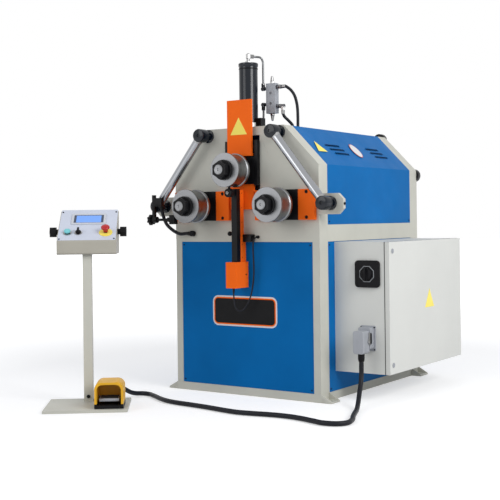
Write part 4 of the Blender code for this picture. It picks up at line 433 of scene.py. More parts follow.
def finish_of(name, colour, rough, metal=0.0, tone=0.07, spread=6.0, grain=0.04, grain_scale=420.0, chips=0.0,
              chip_colour=(0.16, 0.15, 0.14), centre=None, rings=0.0, smudge=0.10, glow=None, gloss=0.3):
    """A procedural finish: drifting tone, uneven roughness, relief, and chips or lathe rings if wanted."""
    material = bpy.data.materials.new(name)
    material.use_nodes = True
    tree = material.node_tree
    nodes = tree.nodes
    shader = nodes["Principled BSDF"]
    place = nodes.new("ShaderNodeTexCoord")
    mapping = nodes.new("ShaderNodeMapping")
    if centre:
        mapping.vector_type = "POINT"
        preset(mapping, {"Location": [-c for c in centre]})
    link(tree, place.outputs["Object"], mapping.inputs["Vector"])
    where = mapping.outputs["Vector"]

    def noise(scale, detail, roughness=0.55):
        node = nodes.new("ShaderNodeTexNoise")
        preset(node, {"Scale": scale, "Detail": detail, "Roughness": roughness})
        link(tree, where, node.inputs["Vector"])
        return node.outputs["Fac"]

    def ranged(value, low, high, to_low, to_high):
        node = nodes.new("ShaderNodeMapRange")
        preset(node, {"From Min": low, "From Max": high, "To Min": to_low, "To Max": to_high})
        link(tree, value, node.inputs["Value"])
        return node.outputs["Result"]

    def mixed(factor, first, second):
        node = nodes.new("ShaderNodeMix")
        node.data_type = "RGBA"
        for socket, value in ((node.inputs[6], first), (node.inputs[7], second)):
            if isinstance(value, bpy.types.NodeSocket):
                link(tree, value, socket)
            else:
                socket.default_value = (*value, 1.0)
        link(tree, factor, node.inputs[0])
        return node.outputs[2]

    light = [min(1.0, c * (1 + tone)) for c in colour]
    dark = [c * (1 - tone) for c in colour]
    shade = mixed(ranged(noise(spread, 4.0), 0.3, 0.7, 0.0, 1.0), dark, light)
    dull = ranged(noise(spread * 3.5, 6.0), 0.3, 0.7, max(0.02, rough - smudge * 0.5),
                  min(1.0, rough + smudge * 0.5))
    relief = noise(grain_scale, 3.0)
    if chips:
        mask = ranged(noise(95.0, 5.0, 0.7), 0.62 - 0.10 * chips, 0.66 - 0.10 * chips, 0.0, 1.0)
        shade = mixed(mask, shade, chip_colour)
    if rings:
        wave = nodes.new("ShaderNodeTexWave")
        wave.wave_type = "RINGS"
        wave.rings_direction = "Y"
        preset(wave, {"Scale": rings, "Distortion": 1.5, "Detail": 3.0, "Detail Scale": 4.0})
        link(tree, where, wave.inputs["Vector"])
        relief = wave.outputs["Fac"]
        shade = mixed(ranged(wave.outputs["Fac"], 0.0, 1.0, 0.0, 0.35), shade, dark)
    link(tree, shade, shader.inputs["Base Color"])
    link(tree, dull, shader.inputs["Roughness"])
    bump = nodes.new("ShaderNodeBump")
    preset(bump, {"Strength": grain, "Distance": 0.0005})
    link(tree, relief, bump.inputs["Height"])
    link(tree, bump.outputs["Normal"], shader.inputs["Normal"])
    preset(shader, {"Metallic": metal, "Specular IOR Level": 0.5 if metal > 0.5 else gloss})
    if glow:
        preset(shader, {"Emission Color": (*colour, 1.0), "Emission Strength": glow})
    material.diffuse_color = (*colour, 1.0)
    return material


LOOKS = {}


def make_looks(choice):
    """Every finish of the machine, by name."""
    blue, grey, cabinet = tuple(choice.blue), tuple(choice.grey), tuple(choice.cabinet)
    orange, yellow = tuple(choice.orange), tuple(choice.yellow)
    wear = choice.wear
    LOOKS.update({
        "blue": finish_of("blue_paint_fine", blue, 0.42, tone=0.09, spread=3.2, grain=0.06, gloss=0.04),
        "blue_edge": finish_of("blue_paint_edge", blue, 0.40, tone=0.16, chips=wear,
                               chip_colour=(0.06, 0.20, 0.42), gloss=0.08),
        "grey": finish_of("grey_paint_fine", grey, 0.50, tone=0.05, spread=4.0, grain=0.08),
        "grey_edge": finish_of("grey_paint_edge", grey, 0.45, tone=0.09, chips=wear,
                               chip_colour=(0.34, 0.33, 0.30)),
        "cabinet": finish_of("cabinet_paint_fine", cabinet, 0.50, tone=0.025, spread=3.0, grain=0.12,
                             grain_scale=300.0),
        "cabinet_edge": finish_of("cabinet_paint_edge", cabinet, 0.46, tone=0.05, chips=wear * 0.5,
                                  chip_colour=(0.50, 0.50, 0.48)),
        "orange": finish_of("orange_paint_fine", orange, 0.42, tone=0.05, spread=9.0, grain=0.06, gloss=0.08),
        "orange_edge": finish_of("orange_paint_edge", orange, 0.42, tone=0.09, chips=wear,
                                 chip_colour=(0.60, 0.10, 0.02), gloss=0.10),
        "yellow": finish_of("yellow_plastic_fine", yellow, 0.46, tone=0.06, spread=12.0, grain=0.15,
                            grain_scale=700.0),
        "black": finish_of("black_steel_fine", (0.006, 0.006, 0.007), 0.36, tone=0.25, spread=14.0,
                           grain=0.05, smudge=0.14, gloss=0.16),
        "black_edge": finish_of("black_steel_edge", (0.010, 0.010, 0.011), 0.34, 0.3, tone=0.30, chips=wear,
                                chip_colour=(0.07, 0.07, 0.08)),
        "enamel": finish_of("black_enamel", (0.004, 0.007, 0.013), 0.15, 0.0, tone=0.15, spread=8.0,
                            grain=0.0, smudge=0.04, gloss=0.34),
        "plastic": finish_of("black_plastic_fine", (0.006, 0.006, 0.007), 0.42, tone=0.18, spread=20.0,
                             grain=0.12, grain_scale=900.0, gloss=0.12),
        "rubber": finish_of("black_rubber_fine", (0.008, 0.009, 0.013), 0.46, tone=0.20, spread=18.0,
                            grain=0.15, grain_scale=800.0, gloss=0.20),
        "chrome": finish_of("chrome_fine", (0.34, 0.35, 0.37), 0.16, 1.0, tone=0.03, grain=0.0, smudge=0.04),
        "zinc": finish_of("zinc_plate", (0.36, 0.36, 0.36), 0.34, 1.0, tone=0.06, spread=30.0, grain=0.02),
        "dark_steel": finish_of("dark_steel", (0.10, 0.10, 0.11), 0.34, 1.0, tone=0.12, spread=20.0,
                                grain=0.02),
        "cast": finish_of("cast_aluminium", (0.36, 0.375, 0.405), 0.50, 0.2, tone=0.06, spread=25.0,
                          grain=0.15, grain_scale=600.0),
        "console": finish_of("console_paint", (0.42, 0.40, 0.34), 0.48, tone=0.05, spread=6.0, grain=0.08),
        "face": finish_of("console_face", (0.62, 0.66, 0.76), 0.38, tone=0.03, grain=0.05),
        "bezel": finish_of("display_bezel", (0.60, 0.62, 0.66), 0.42, tone=0.03, grain=0.05),
        "screen": finish_of("display_screen", (0.16, 0.33, 0.78), 0.22, tone=0.02, grain=0.0, glow=0.30),
        "screen_edge": finish_of("display_mask", (0.05, 0.07, 0.12), 0.30, tone=0.05, grain=0.02),
        "red": finish_of("red_plastic_fine", (0.45, 0.006, 0.008), 0.30, tone=0.08, grain=0.02, gloss=0.5),
        "cyan": finish_of("cyan_plastic_fine", (0.20, 0.62, 0.66), 0.34, tone=0.06, grain=0.03),
        "white": finish_of("white_plastic", (0.72, 0.72, 0.72), 0.42, tone=0.02, grain=0.04),
        "marker": finish_of("yellow_marker", (0.96, 0.80, 0.14), 0.42, tone=0.03, grain=0.02),
        "seal": finish_of("door_seal", (0.03, 0.03, 0.03), 0.6, tone=0.10, grain=0.10, gloss=0.1),
        # Dark navy for the walls of the cover's slots: painted shade standing in for the shade inside the
        # slots.
        "slot": finish_of("slot_painted_shade", (0.004, 0.008, 0.030), 0.60, tone=0.10, grain=0.04, gloss=0.1),
        "nickel": finish_of("nickel_fittings", (0.27, 0.27, 0.27), 0.28, 1.0, tone=0.08, spread=30.0,
                            grain=0.0),
        "pipe": finish_of("steel_pipe", (0.17, 0.175, 0.18), 0.34, 1.0, tone=0.08, spread=30.0, grain=0.0),
        "gear_grey": finish_of("switchgear_plastic", (0.24, 0.25, 0.26), 0.50, tone=0.06, grain=0.10),
    })
    for name in ROLLS:
        x, z = centre_of(name)
        LOOKS[name] = finish_of(name + "_steel", (0.25, 0.255, 0.265), 0.33, 1.0, tone=0.05, spread=12.0,
                                grain=0.015, centre=(x, 0.0, z), rings=120.0, smudge=0.05)


# Stage

def shown_rays(tree):
    """1 where the camera sees a place straight, in metal or through glass, else 0."""
    rays = tree.nodes.new("ShaderNodeLightPath")
    total = rays.outputs["Is Camera Ray"]
    for name in ("Is Glossy Ray", "Is Transmission Ray"):
        node = tree.nodes.new("ShaderNodeMath")
        node.operation = "MAXIMUM"
        link(tree, total, node.inputs[0])
        link(tree, rays.outputs[name], node.inputs[1])
        total = node.outputs["Value"]
    return total


class BENDER_OT_stage(bpy.types.Operator):
    """Pale floor, soft lights and the camera that sees what the photograph shows"""

    bl_idname = "bender.stage"
    bl_label = "Stage"

    def execute(self, context):
        room = context.scene.bender_room
        scene = context.scene
        half = room.floor_size / 2
        floor = plain_object("studio_floor",
                             extruded([(-half, -half), (half, -half), (half, half), (-half, half)], "Z",
                                      -0.01, -0.0004))
        material = bpy.data.materials.new("studio_floor")
        material.use_nodes = True
        tree = material.node_tree
        shader = tree.nodes["Principled BSDF"]
        preset(shader, {"Base Color": (*room.floor_colour, 1.0), "Roughness": 0.9, "Specular IOR Level": 0.1,
                        "Emission Color": (1, 1, 1, 1)})
        place = tree.nodes.new("ShaderNodeTexCoord")
        reach = tree.nodes.new("ShaderNodeVectorMath")
        reach.operation = "LENGTH"
        fade = tree.nodes.new("ShaderNodeMapRange")
        preset(fade, {"From Min": room.fade_start, "From Max": room.fade_end, "To Min": room.floor_glow,
                      "To Max": 1.0})
        seen = tree.nodes.new("ShaderNodeMath")
        seen.operation = "MULTIPLY"
        link(tree, place.outputs["Object"], reach.inputs[0])
        link(tree, reach.outputs["Value"], fade.inputs["Value"])
        link(tree, fade.outputs["Result"], seen.inputs[0])
        link(tree, shown_rays(tree), seen.inputs[1])
        link(tree, seen.outputs["Value"], shader.inputs["Emission Strength"])
        floor.data.materials.append(material)

        world = bpy.data.worlds.new("studio")
        scene.world = world
        world.use_nodes = True
        tree = world.node_tree
        surround = tree.nodes["Background"]
        preset(surround, {"Color": (0.93, 0.95, 1.0, 1.0), "Strength": room.surround})
        seen = tree.nodes.new("ShaderNodeBackground")
        preset(seen, {"Color": (1.0, 1.0, 1.0, 1.0)})
        choose = tree.nodes.new("ShaderNodeMixShader")
        link(tree, shown_rays(tree), choose.inputs[0])
        link(tree, surround.outputs[0], choose.inputs[1])
        link(tree, seen.outputs[0], choose.inputs[2])
        link(tree, choose.outputs[0], tree.nodes["World Output"].inputs["Surface"])

        for name, place, target, size, power in (
                ("key_light", (4.6, -1.4, 3.0), (0, -0.2, 0.7), 2.4, room.key_power),
                ("fill_light", (-1.6, -5.0, 2.6), (-0.2, -0.3, 0.6), 2.6, room.fill_power)):
            data = bpy.data.lights.new(name, "AREA")
            data.shape = "SQUARE"
            data.size = size
            data.energy = power
            lamp = bpy.data.objects.new(name, data)
            lamp.location = place
            lamp.visible_camera = False
            lamp.rotation_euler = (Vector(target) - Vector(place)).to_track_quat("-Z", "Y").to_euler()
            scene.collection.objects.link(lamp)

        data = bpy.data.cameras.new("camera")
        data.lens = room.lens
        data.sensor_width = 36.0
        data.shift_y = -0.0627
        camera = bpy.data.objects.new("camera", data)
        turn = Matrix.Rotation(math.radians(34.07), 4, "Z") @ Matrix.Rotation(math.radians(90), 4, "X")
        turn = turn @ Matrix.Rotation(math.radians(-0.67), 4, "Z")
        camera.matrix_world = Matrix.Translation((2.7126, -4.4682, 0.8175)) @ turn
        scene.collection.objects.link(camera)
        scene.camera = camera
        scene.view_settings.view_transform = "Standard"
        return {"FINISHED"}


# Cords: the route points are those of the CAD source

LIE = 0.0108
GLAND = (0.568, -0.4416)
CABLE_START = 0.1854
PEDAL_BACK = (0.100, 0.0273)
PEDAL_LEVEL = 0.0783
PEDAL_BASE = 0.032


def on_console(across, back, height):
    """A place told from the middle of the console's foot."""
    return tuple(CONSOLE @ Vector((across, back, height)))


def offset(origin, *steps):
    """Points told from an origin."""
    return [tuple(a + b for a, b in zip(origin, step)) for step in steps]


def floor_cable_route():
    fall = offset((*GLAND, CABLE_START), (0, 0, 0), (0, 0, -0.030), (0.004, -0.011, -0.072),
                  (0.014, -0.040, -0.113), (0.028, -0.086, -0.146))
    lying = ((0.652, -0.655), (0.694, -0.755), (0.728, -0.830), (0.734, -0.890), (0.690, -0.929),
             (0.630, -0.927), (0.560, -0.903), (0.470, -0.888), (0.383, -0.893), (0.251, -0.917),
             (0.150, -0.907), (0.060, -0.889), (-0.042, -0.876), (-0.110, -0.869), (-0.180, -0.855),
             (-0.250, -0.823), (-0.320, -0.781), (-0.390, -0.751))
    into_pedal = ((0.090, 0.190, 0.020), (0.030, 0.110, PEDAL_LEVEL - 0.016), (0, 0.040, PEDAL_LEVEL),
                  (0, 0.0003, PEDAL_LEVEL))
    return [*fall, (0.622, -0.580, LIE + 0.006), *((x, y, LIE) for x, y in lying),
            *(on_console(PEDAL_BACK[0] + across, PEDAL_BACK[1] + back, z) for across, back, z in into_pedal)]


def gauge_cable_route():
    x, y, z = 0.078, -0.521, 0.733
    hanging = offset((x, y, z), (0, 0, 0), (-0.001, -0.012, -0.003), (-0.003, -0.022, -0.022),
                     (-0.005, -0.022, -0.060), (-0.008, -0.014, -0.110), (-0.009, -0.012, -0.165),
                     (-0.014, -0.014, -0.220), (-0.026, -0.018, -0.275), (-0.046, -0.026, -0.318),
                     (-0.068, -0.036, -0.338))
    return [*hanging, (-0.010, y - 0.044, z - 0.326), (-0.017, -0.569, z - 0.290), (-0.018, -0.571, 0.4767),
            (-0.018, -0.571, 0.5017)]


def guide_hose_route():
    x, y, top = -0.411, -0.605, 0.8794
    end = (-0.310, -0.519, 0.750)
    return [(x, y + 0.005, top), (x, y + 0.005, top - 0.014), (x + 0.002, y + 0.016, top - 0.048),
            (x + 0.012, y + 0.027, top - 0.084), (x + 0.034, y + 0.046, top - 0.113),
            (x + 0.058, y + 0.068, end[2] - 0.001), (end[0] - 0.016, end[1] - 0.003, end[2]), end]


def upper_hose_route():
    x, y, z = 0.1506, -0.397, 1.428
    end = (0.205, -0.355)
    return [(x, y, z), (x + 0.008, y, z), (x + 0.016, y + 0.001, z - 0.001),
            (x + 0.034, y + 0.012, z - 0.016), (x + 0.049, y + 0.024, z - 0.044),
            (end[0], end[1] - 0.006, z - 0.085), (*end, z - 0.130), (*end, 1.240), (*end, 1.200)]


def lower_hose_route():
    x, y, z = 0.151, -0.397, 1.3154
    end = (0.178, -0.355)
    across, along = end[0] - x, end[1] - y
    return [(x, y, z), (x, y, z - 0.013), (x + 0.16 * across, y + 0.16 * along, z - 0.028),
            (x + 0.60 * across, y + 0.60 * along, z - 0.047),
            (x + 0.95 * across, y + 0.95 * along, z - 0.066), (*end, 1.230), (*end, 1.200)]


CORDS = (("floor_cable", floor_cable_route, 0.021, "medium", "loose", "rubber", 29),
         ("gauge_cable", gauge_cable_route, 0.007, "limp", "hanging", "rubber", 24),
         ("guide_hose", guide_hose_route, 0.016, "stiff", "hanging", "rubber", 18),
         ("upper_hose", upper_hose_route, 0.014, "stiff", "loose", "rubber", 20),
         ("lower_hose", lower_hose_route, 0.014, "stiff", "loose", "rubber", 16))


def even(points, count):
    """That many points at equal steps along the smooth curve through a route's points."""
    fine = smooth(points, 24)
    lengths = [0.0]
    for a, b in zip(fine, fine[1:]):
        lengths.append(lengths[-1] + (b - a).length)
    result = []
    i = 0
    for k in range(count):
        target = lengths[-1] * k / (count - 1)
        while i < len(fine) - 2 and lengths[i + 1] < target:
            i += 1
        share = (target - lengths[i]) / max(1e-9, lengths[i + 1] - lengths[i])
        result.append(fine[i].lerp(fine[i + 1], min(1.0, share)))
    return result, lengths[-1]


class BENDER_OT_cords(bpy.types.Operator):
    """Cables and hoses, each on the route that its CAD node has"""

    bl_idname = "bender.cords"
    bl_label = "Cables and hoses"

    def execute(self, context):
        for name, route, diameter, stiffness, lay, finish, count in CORDS:
            points, length = even(route(), count)
            curve = bpy.data.curves.new(name + "_cord", "CURVE")
            curve.dimensions = "3D"
            curve.bevel_depth = diameter / 2
            curve.bevel_resolution = 5
            curve.resolution_u = 8
            curve.use_fill_caps = True
            spline = curve.splines.new("BEZIER")
            spline.bezier_points.add(count - 1)
            for knot, place in zip(spline.bezier_points, points):
                knot.co = (place.x, place.y, max(place.z, diameter / 2 + 0.0011))
                knot.handle_left_type = knot.handle_right_type = "AUTO"
            curve.materials.append(LOOKS[finish])
            cord = bpy.data.objects.new(name + "_cord", curve)
            context.scene.collection.objects.link(cord)
            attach(cord, BODY[name])
            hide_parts(name)
        return {"FINISHED"}


# Frame and sheet metal

def frame_rule(c, n):
    """The round pads on the rear plate are black."""
    near = min(math.hypot(abs(c.x) - x, c.z - z) for x, z in REAR_BOSSES) < 0.0345
    return 1 if near and c.y > REAR - 0.0055 else 0


class BENDER_OT_frame(bpy.types.Operator):
    """Welded frame with its end plates, rails, lugs and base"""

    bl_idname = "bender.frame"
    bl_label = "Frame"

    def execute(self, context):
        refined("base_frame", ["grey", "grey_edge"], 0.0016)
        refined("main_frame", ["grey", "black"], 0.0016, frame_rule)
        return {"FINISHED"}


def slot_wall_painted_shade_rule(c, n):
    """Walls of the slots in the slopes get the dark slot finish, which is painted shade."""
    slope = Vector((math.copysign(1, c.x), 0, 1)).normalized()
    return 1 if 1.075 < c.z < 1.20 and abs(n.dot(slope)) < 0.5 and abs(c.y) < abs(FRONT) - 0.1 else 0


class BENDER_OT_panels(bpy.types.Operator):
    """Blue sheet panels, the upper cover with its slots, and the blank plates on them"""

    bl_idname = "bender.panels"
    bl_label = "Panels and cover"

    def execute(self, context):
        edge = context.scene.bender_sheet.edge
        for node in ("front_panel", "rear_panel", "left_side_panel", "right_side_panel"):
            refined(node, ["blue", "blue_edge"], edge)
        # The upper cover's slot walls take the dark slot finish: painted shade.
        refined("upper_cover", ["blue", "slot"], 0.0, slot_wall_painted_shade_rule)
        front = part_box("front_panel")[0].y
        left, right, low, high = NAME_PLATE
        for layer, (part, inset, finish, slot) in enumerate((("rim", 0.0, "white", "aluminium"),
                                                             ("line", 0.007, "orange", "orange_paint"),
                                                             ("field", 0.013, "plastic", "black_plastic"))):
            outline = rounded(left + inset, right - inset, low + inset, high - inset, 0.030 - inset)
            step = front - 0.0006 * (layer + 1)
            add("front_plate_" + part, extruded(outline, "Y", step, step + 0.0005), "front_panel", [finish])
        return {"FINISHED"}


def slope_frame(setback, drop):
    """A place on the right slope: X down the slope, Y to the back, Z outward."""
    fall = (SLOPE_BOTTOM - SLOPE_TOP).normalized()
    out = Vector((-fall.z, 0, fall.x))
    origin = SLOPE_TOP + fall * drop + Vector((0, FRONT + setback, 0)) + out * COVER_WALL
    return Matrix.Translation(origin) @ Matrix((fall, (0, 1, 0), out)).transposed().to_4x4()


class BENDER_OT_markers(bpy.types.Operator):
    """Blank marker plates on the cover, the slide and the door"""

    bl_idname = "bender.markers"
    bl_label = "Marker plates"

    def execute(self, context):
        def triangle(side):
            high = side * math.sqrt(3) / 2
            return [(-side / 2, -high / 3), (side / 2, -high / 3), (0, high * 2 / 3)]

        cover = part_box("upper_slide_cover")
        face = cover[0].y
        outline = [(a - 0.002, b + 1.230) for a, b in triangle(0.092)]
        add("slide_marker", extruded(outline, "Y", face - 0.0009, face - 0.0001), "upper_slide_cover",
            ["marker"], edge=0.0003)
        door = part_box("cabinet_door")
        outline = [(a + FRONT + 0.5505, b + 0.423) for a, b in triangle(0.100)]
        add("door_marker", extruded(outline, "X", door[1].x + 0.0001, door[1].x + 0.0009), "cabinet_door",
            ["marker"], edge=0.0003)
        place = slope_frame(0.144, 0.148)
        add("slope_marker",
            moved(extruded([(-b, a) for a, b in triangle(0.080)], "Z", 0.0002, 0.0010), place), "upper_cover",
            ["marker"], edge=0.0003)
        place = slope_frame(0.492, 0.144)
        for part, along, across, low, finish, slot in (("rim", 0.047, 0.038, 0.0002, "red", "red_plastic"),
                                                       ("field", 0.043, 0.034, 0.0008, "white", "aluminium")):
            oval = [(along * math.cos(2 * math.pi * i / 48), across * math.sin(2 * math.pi * i / 48))
                    for i in range(48)]
            add("slope_plate_" + part, moved(extruded(oval, "Z", low, low + 0.0005), place), "upper_cover",
                [finish])
        return {"FINISHED"}


# Rolls

def spindle_nut(centre, low, high, radius, sides):
    """A nut with flats and chamfers on both ends, one flat to each side of the machine."""
    cut = 0.0022
    length = high - low
    nut = turned([(0.0228, 0), (radius - cut, 0), (radius, cut), (radius, length - cut),
                  (radius - cut, length), (0.0228, length)], (0, 0, 0), steps=sides)
    return moved(nut,
                 Matrix.Translation((centre[0], low, centre[1])) @ Matrix.Rotation(math.pi / sides, 4, "Y"))


class BENDER_OT_rolls(bpy.types.Operator):
    """Three turned rolls on their spindles, each held by a nut and a washer"""

    bl_idname = "bender.rolls"
    bl_label = "Rolls"

    def execute(self, context):
        rolls = context.scene.bender_rolls
        for name in ROLLS:
            low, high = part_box(name)
            x, z = centre_of(name)
            width = high.y - low.y
            big, small, rim, cut = rolls.radius, rolls.groove, rolls.rim, rolls.chamfer
            step = (big - small) * 0.55
            groove = [(big - 0.0006, rim)]
            for i in range(13):
                way = i / 12
                sag = 1 - (2 * way - 1) ** 2
                groove.append((big - step - (big - step - small) * sag,
                               rim + step + (width - 2 * rim - 2 * step) * way))
            groove.append((big - 0.0006, width - rim))
            profile = [(0.0303, 0.0008), (0.0311, 0), (big - cut, 0), (big, cut), (big, rim - 0.0006),
                       *groove, (big, width - rim + 0.0006), (big, width - cut), (big - cut, width),
                       (0.0311, width), (0.0303, width - 0.0008)]
            add(name + "_ring", turned(profile, (x, low.y, z), steps=112), name, [name],
                (name,), crease=28)
            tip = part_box(name + "_spindle")[0].y
            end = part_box(name + "_spindle")[1].y - tip
            seat = low.y - tip
            washer = seat - 0.0003 - 0.013
            nut = washer - 0.030
            shaft = [(0, 0.004), (0.0035, 0.004), (0.0055, 0.0005), (0.019, 0), (0.0225, 0.003),
                     (0.0225, nut + 0.001), (0.0225, seat), (0.030, seat + 0.0005), (0.030, seat + width),
                     (0.0465, seat + width + 0.0003), (0.048, seat + width + 0.0018), (0.048, 0.1825),
                     (0.0465, 0.184), (0.034, 0.184), (0.034, end), (0, end)]
            add(name + "_shaft", turned(shaft, (x, tip, z), steps=72), name + "_spindle", [name],
                (name + "_spindle",), crease=28)
            nut_bm = spindle_nut((x, z), tip + nut, tip + washer, 0.0405, rolls.sides)
            ring = turned([(0.0226, 0), (0.0450, 0), (0.046, 0.001), (0.046, 0.0118), (0.045, 0.0128),
                           (0.0226, 0.0128)], (x, tip + washer + 0.0001, z), steps=72)
            add(name + "_nut", combined(nut_bm, ring), name + "_spindle", ["black"], crease=28)
        return {"FINISHED"}


class BENDER_OT_bearings(bpy.types.Operator):
    """Bearing blocks with their roll motors, and the orange clamp plates beside them"""

    bl_idname = "bender.bearings"
    bl_label = "Bearing blocks"

    def execute(self, context):
        for word in ("left", "right"):
            refined(word + "_bearing_block", ["black", "black_edge"], 0.0010)
            for part in ("inner", "outer"):
                refined(f"{word}_{part}_clamp", ["orange", "orange_edge"], 0.0008)
        return {"FINISHED"}


class BENDER_OT_slide(bpy.types.Operator):
    """Top slide, its guide rails and orange covers, and the piston rod"""

    bl_idname = "bender.slide"
    bl_label = "Top slide"

    def execute(self, context):
        for node in ("left_gib", "right_gib", "slide_block"):
            refined(node, ["black", "black_edge"], 0.0010)
        for node in ("upper_slide_cover", "lower_slide_cover"):
            refined(node, ["orange", "orange_edge"], 0.0010)
        refined("piston_rod", ["chrome"], 0.0)
        return {"FINISHED"}


# Cylinder and hydraulics

def hexagon(start, end, across):
    """A hexagonal fitting between two points."""
    start, end = Vector(start), Vector(end)
    length = (end - start).length
    radius = across / math.sqrt(3)
    cut = min(0.0012, length / 4)
    profile = [(0, 0), (radius * 0.86, 0), (radius, cut), (radius, length - cut), (radius * 0.86, length),
               (0, length)]
    return turned(profile, start, end - start, 6)


class BENDER_OT_cylinder(bpy.types.Operator):
    """Enamelled bending cylinder with its port block, elbow and two steel pipes"""

    bl_idname = "bender.cylinder"
    bl_label = "Cylinder"

    def execute(self, context):
        low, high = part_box("cylinder")
        centre = (0.0, FRONT + 0.048)
        base = low.z
        top = CYLINDER_TOP - base
        head = top - 0.016
        body = turned([(0.0228, 0), (0.051, 0), (0.052, 0.001), (0.052, 0.021), (0.051, 0.022),
                       (0.0445, 0.022), (0.0435, 0.024), (0.0435, head - 0.0015), (0.0445, head),
                       (0.0455, head), (0.046, head + 0.001), (0.046, top - 0.003), (0.043, top), (0.0, top),
                       (0.0, head - 0.010), (0.036, head - 0.010), (0.036, 0.012), (0.0228, 0.012)],
                      (*centre, base), (0, 0, 1), 96)
        middle = FRONT + 0.052
        for face in body.faces:
            face.material_index = 1 if face.calc_center_median().z < base + 0.0225 else 0
        port = block((0.0395, middle - 0.019, base + 0.004), (0.0775, middle + 0.019, base + 0.042))
        add("cylinder_tube", body, "cylinder", ["enamel", "zinc"], ("cylinder",), crease=30)
        add("cylinder_port", port, "cylinder", ["black", "black_edge"], edge=0.0020)
        band = turned([(0.0437, 0), (0.0448, 0.0006), (0.0448, 0.0054), (0.0437, 0.006)],
                      (*centre, CYLINDER_TOP - 0.030), (0, 0, 1), 96)
        add("cylinder_band", band, "cylinder", ["black"], crease=30)

        outlet = high.z - 0.013
        heading = Vector((0.012, 0.024, 0)).normalized()
        start = Vector((0.012, centre[1] + 0.024, outlet))
        elbow = combined(hexagon((*centre, CYLINDER_TOP), (*centre, CYLINDER_TOP + 0.010), 0.026),
                         round_bar((*centre, 1.549), (*centre, 1.572), 0.0075),
                         hexagon((*centre, 1.562), (*centre, 1.583), 0.020),
                         round_bar((*centre, 1.582), (*centre, high.z), 0.0085, 0.006),
                         hexagon(Vector((*centre, outlet)), start + heading * 0.002, 0.018))
        x, y = 0.043, FRONT + 0.108
        upper = swept([start - heading * 0.008, start + heading * 0.012,
                       (x - 0.006, y - 0.012, outlet - 0.004), (x - 0.0005, y - 0.001, outlet - 0.022),
                       (x, y, outlet - 0.045), (x, y, outlet - 0.080), (x, y, 1.4503)], 0.005)
        fall = 1.3237
        gate = Vector((0.0585, FRONT + 0.071, 1.262))
        lower = swept([(x, y, fall), (x, y, fall - 0.012), (x + 0.002, y - 0.004, fall - 0.032),
                       (x + 0.008, y - 0.016, fall - 0.049), (gate.x - 0.001, gate.y + 0.008, gate.z + 0.001),
                       (gate.x, gate.y - 0.005, gate.z)], 0.005)
        add("cylinder_elbow", elbow, "cylinder", ["nickel"], crease=32)
        add("cylinder_pipes", combined(upper, lower), "cylinder", ["pipe"], crease=32)
        return {"FINISHED"}


class BENDER_OT_valve(bpy.types.Operator):
    """Valve block with its cartridges and pipe fittings"""

    bl_idname = "bender.valve"
    bl_label = "Valve block"

    def execute(self, context):
        y = FRONT + 0.108
        front, back = FRONT + 0.092, FRONT + 0.124
        body = carved(block((0.068, front, 1.306), (0.118, back, 1.446)),
                      *[round_bar((VALVE_X, front - 0.01, z), (VALVE_X, front + 0.004, z), 0.006)
                        for z in VALVE_PLUGS])
        add("valve_body", body, "valve_block", ["cast"], ("valve_block",), edge=0.0012)
        nuts, elbows = [], []
        for z, way in ((1.446, 1), (1.306, -1)):
            nuts += [hexagon((VALVE_X, y, z - way * 0.001), (VALVE_X, y, z + way * 0.010), 0.020),
                     round_bar((VALVE_X, y, z + way * 0.009), (VALVE_X, y, z + way * 0.034), 0.0085, 0.0055,
                               0.002)]
        for z, way in ((1.424, 1), (1.350, -1)):
            elbows += [hexagon((0.069, y, z), (0.060, y, z), 0.019),
                       round_bar((0.061, y, z), (0.034, y, z), 0.0080),
                       round_bar((0.043, y, z - way * 0.009), (0.043, y, z + way * 0.012), 0.0085)]
            nuts.append(hexagon((0.043, y, z + way * 0.010), (0.043, y, z + way * 0.026), 0.017))
        for z, end in ((1.428, 0.150), (1.338, 0.160)):
            elbows.append(hexagon((0.117, y, z), (0.126, y, z), 0.019))
            elbows.append(round_bar((0.125, y, z), (end, y, z), 0.0085))
            nuts.append(hexagon((0.131, y, z), (0.141, y, z), 0.019))
        nuts.append(hexagon((0.151, y, 1.336), (0.151, y, 1.316), 0.018))
        add("valve_nuts", combined(*nuts), "valve_block", ["nickel"], crease=32)
        add("valve_elbows", combined(*elbows), "valve_block", ["dark_steel"], crease=32)
        plugs = [round_bar((VALVE_X, front - 0.0005, z), (VALVE_X, front + 0.0035, z), 0.0055)
                 for z in VALVE_PLUGS]
        add("valve_plugs", combined(*plugs), "valve_block", ["dark_steel"], crease=32)
        crimps = [round_bar((0.1506, y, 1.428), (0.1666, y, 1.428), 0.0085, 0.0080),
                  round_bar((0.151, y, 1.3165), (0.151, y, 1.3005), 0.0085, 0.0080)]
        add("hose_crimps", combined(*crimps), "valve_block", ["nickel"], crease=32)
        return {"FINISHED"}


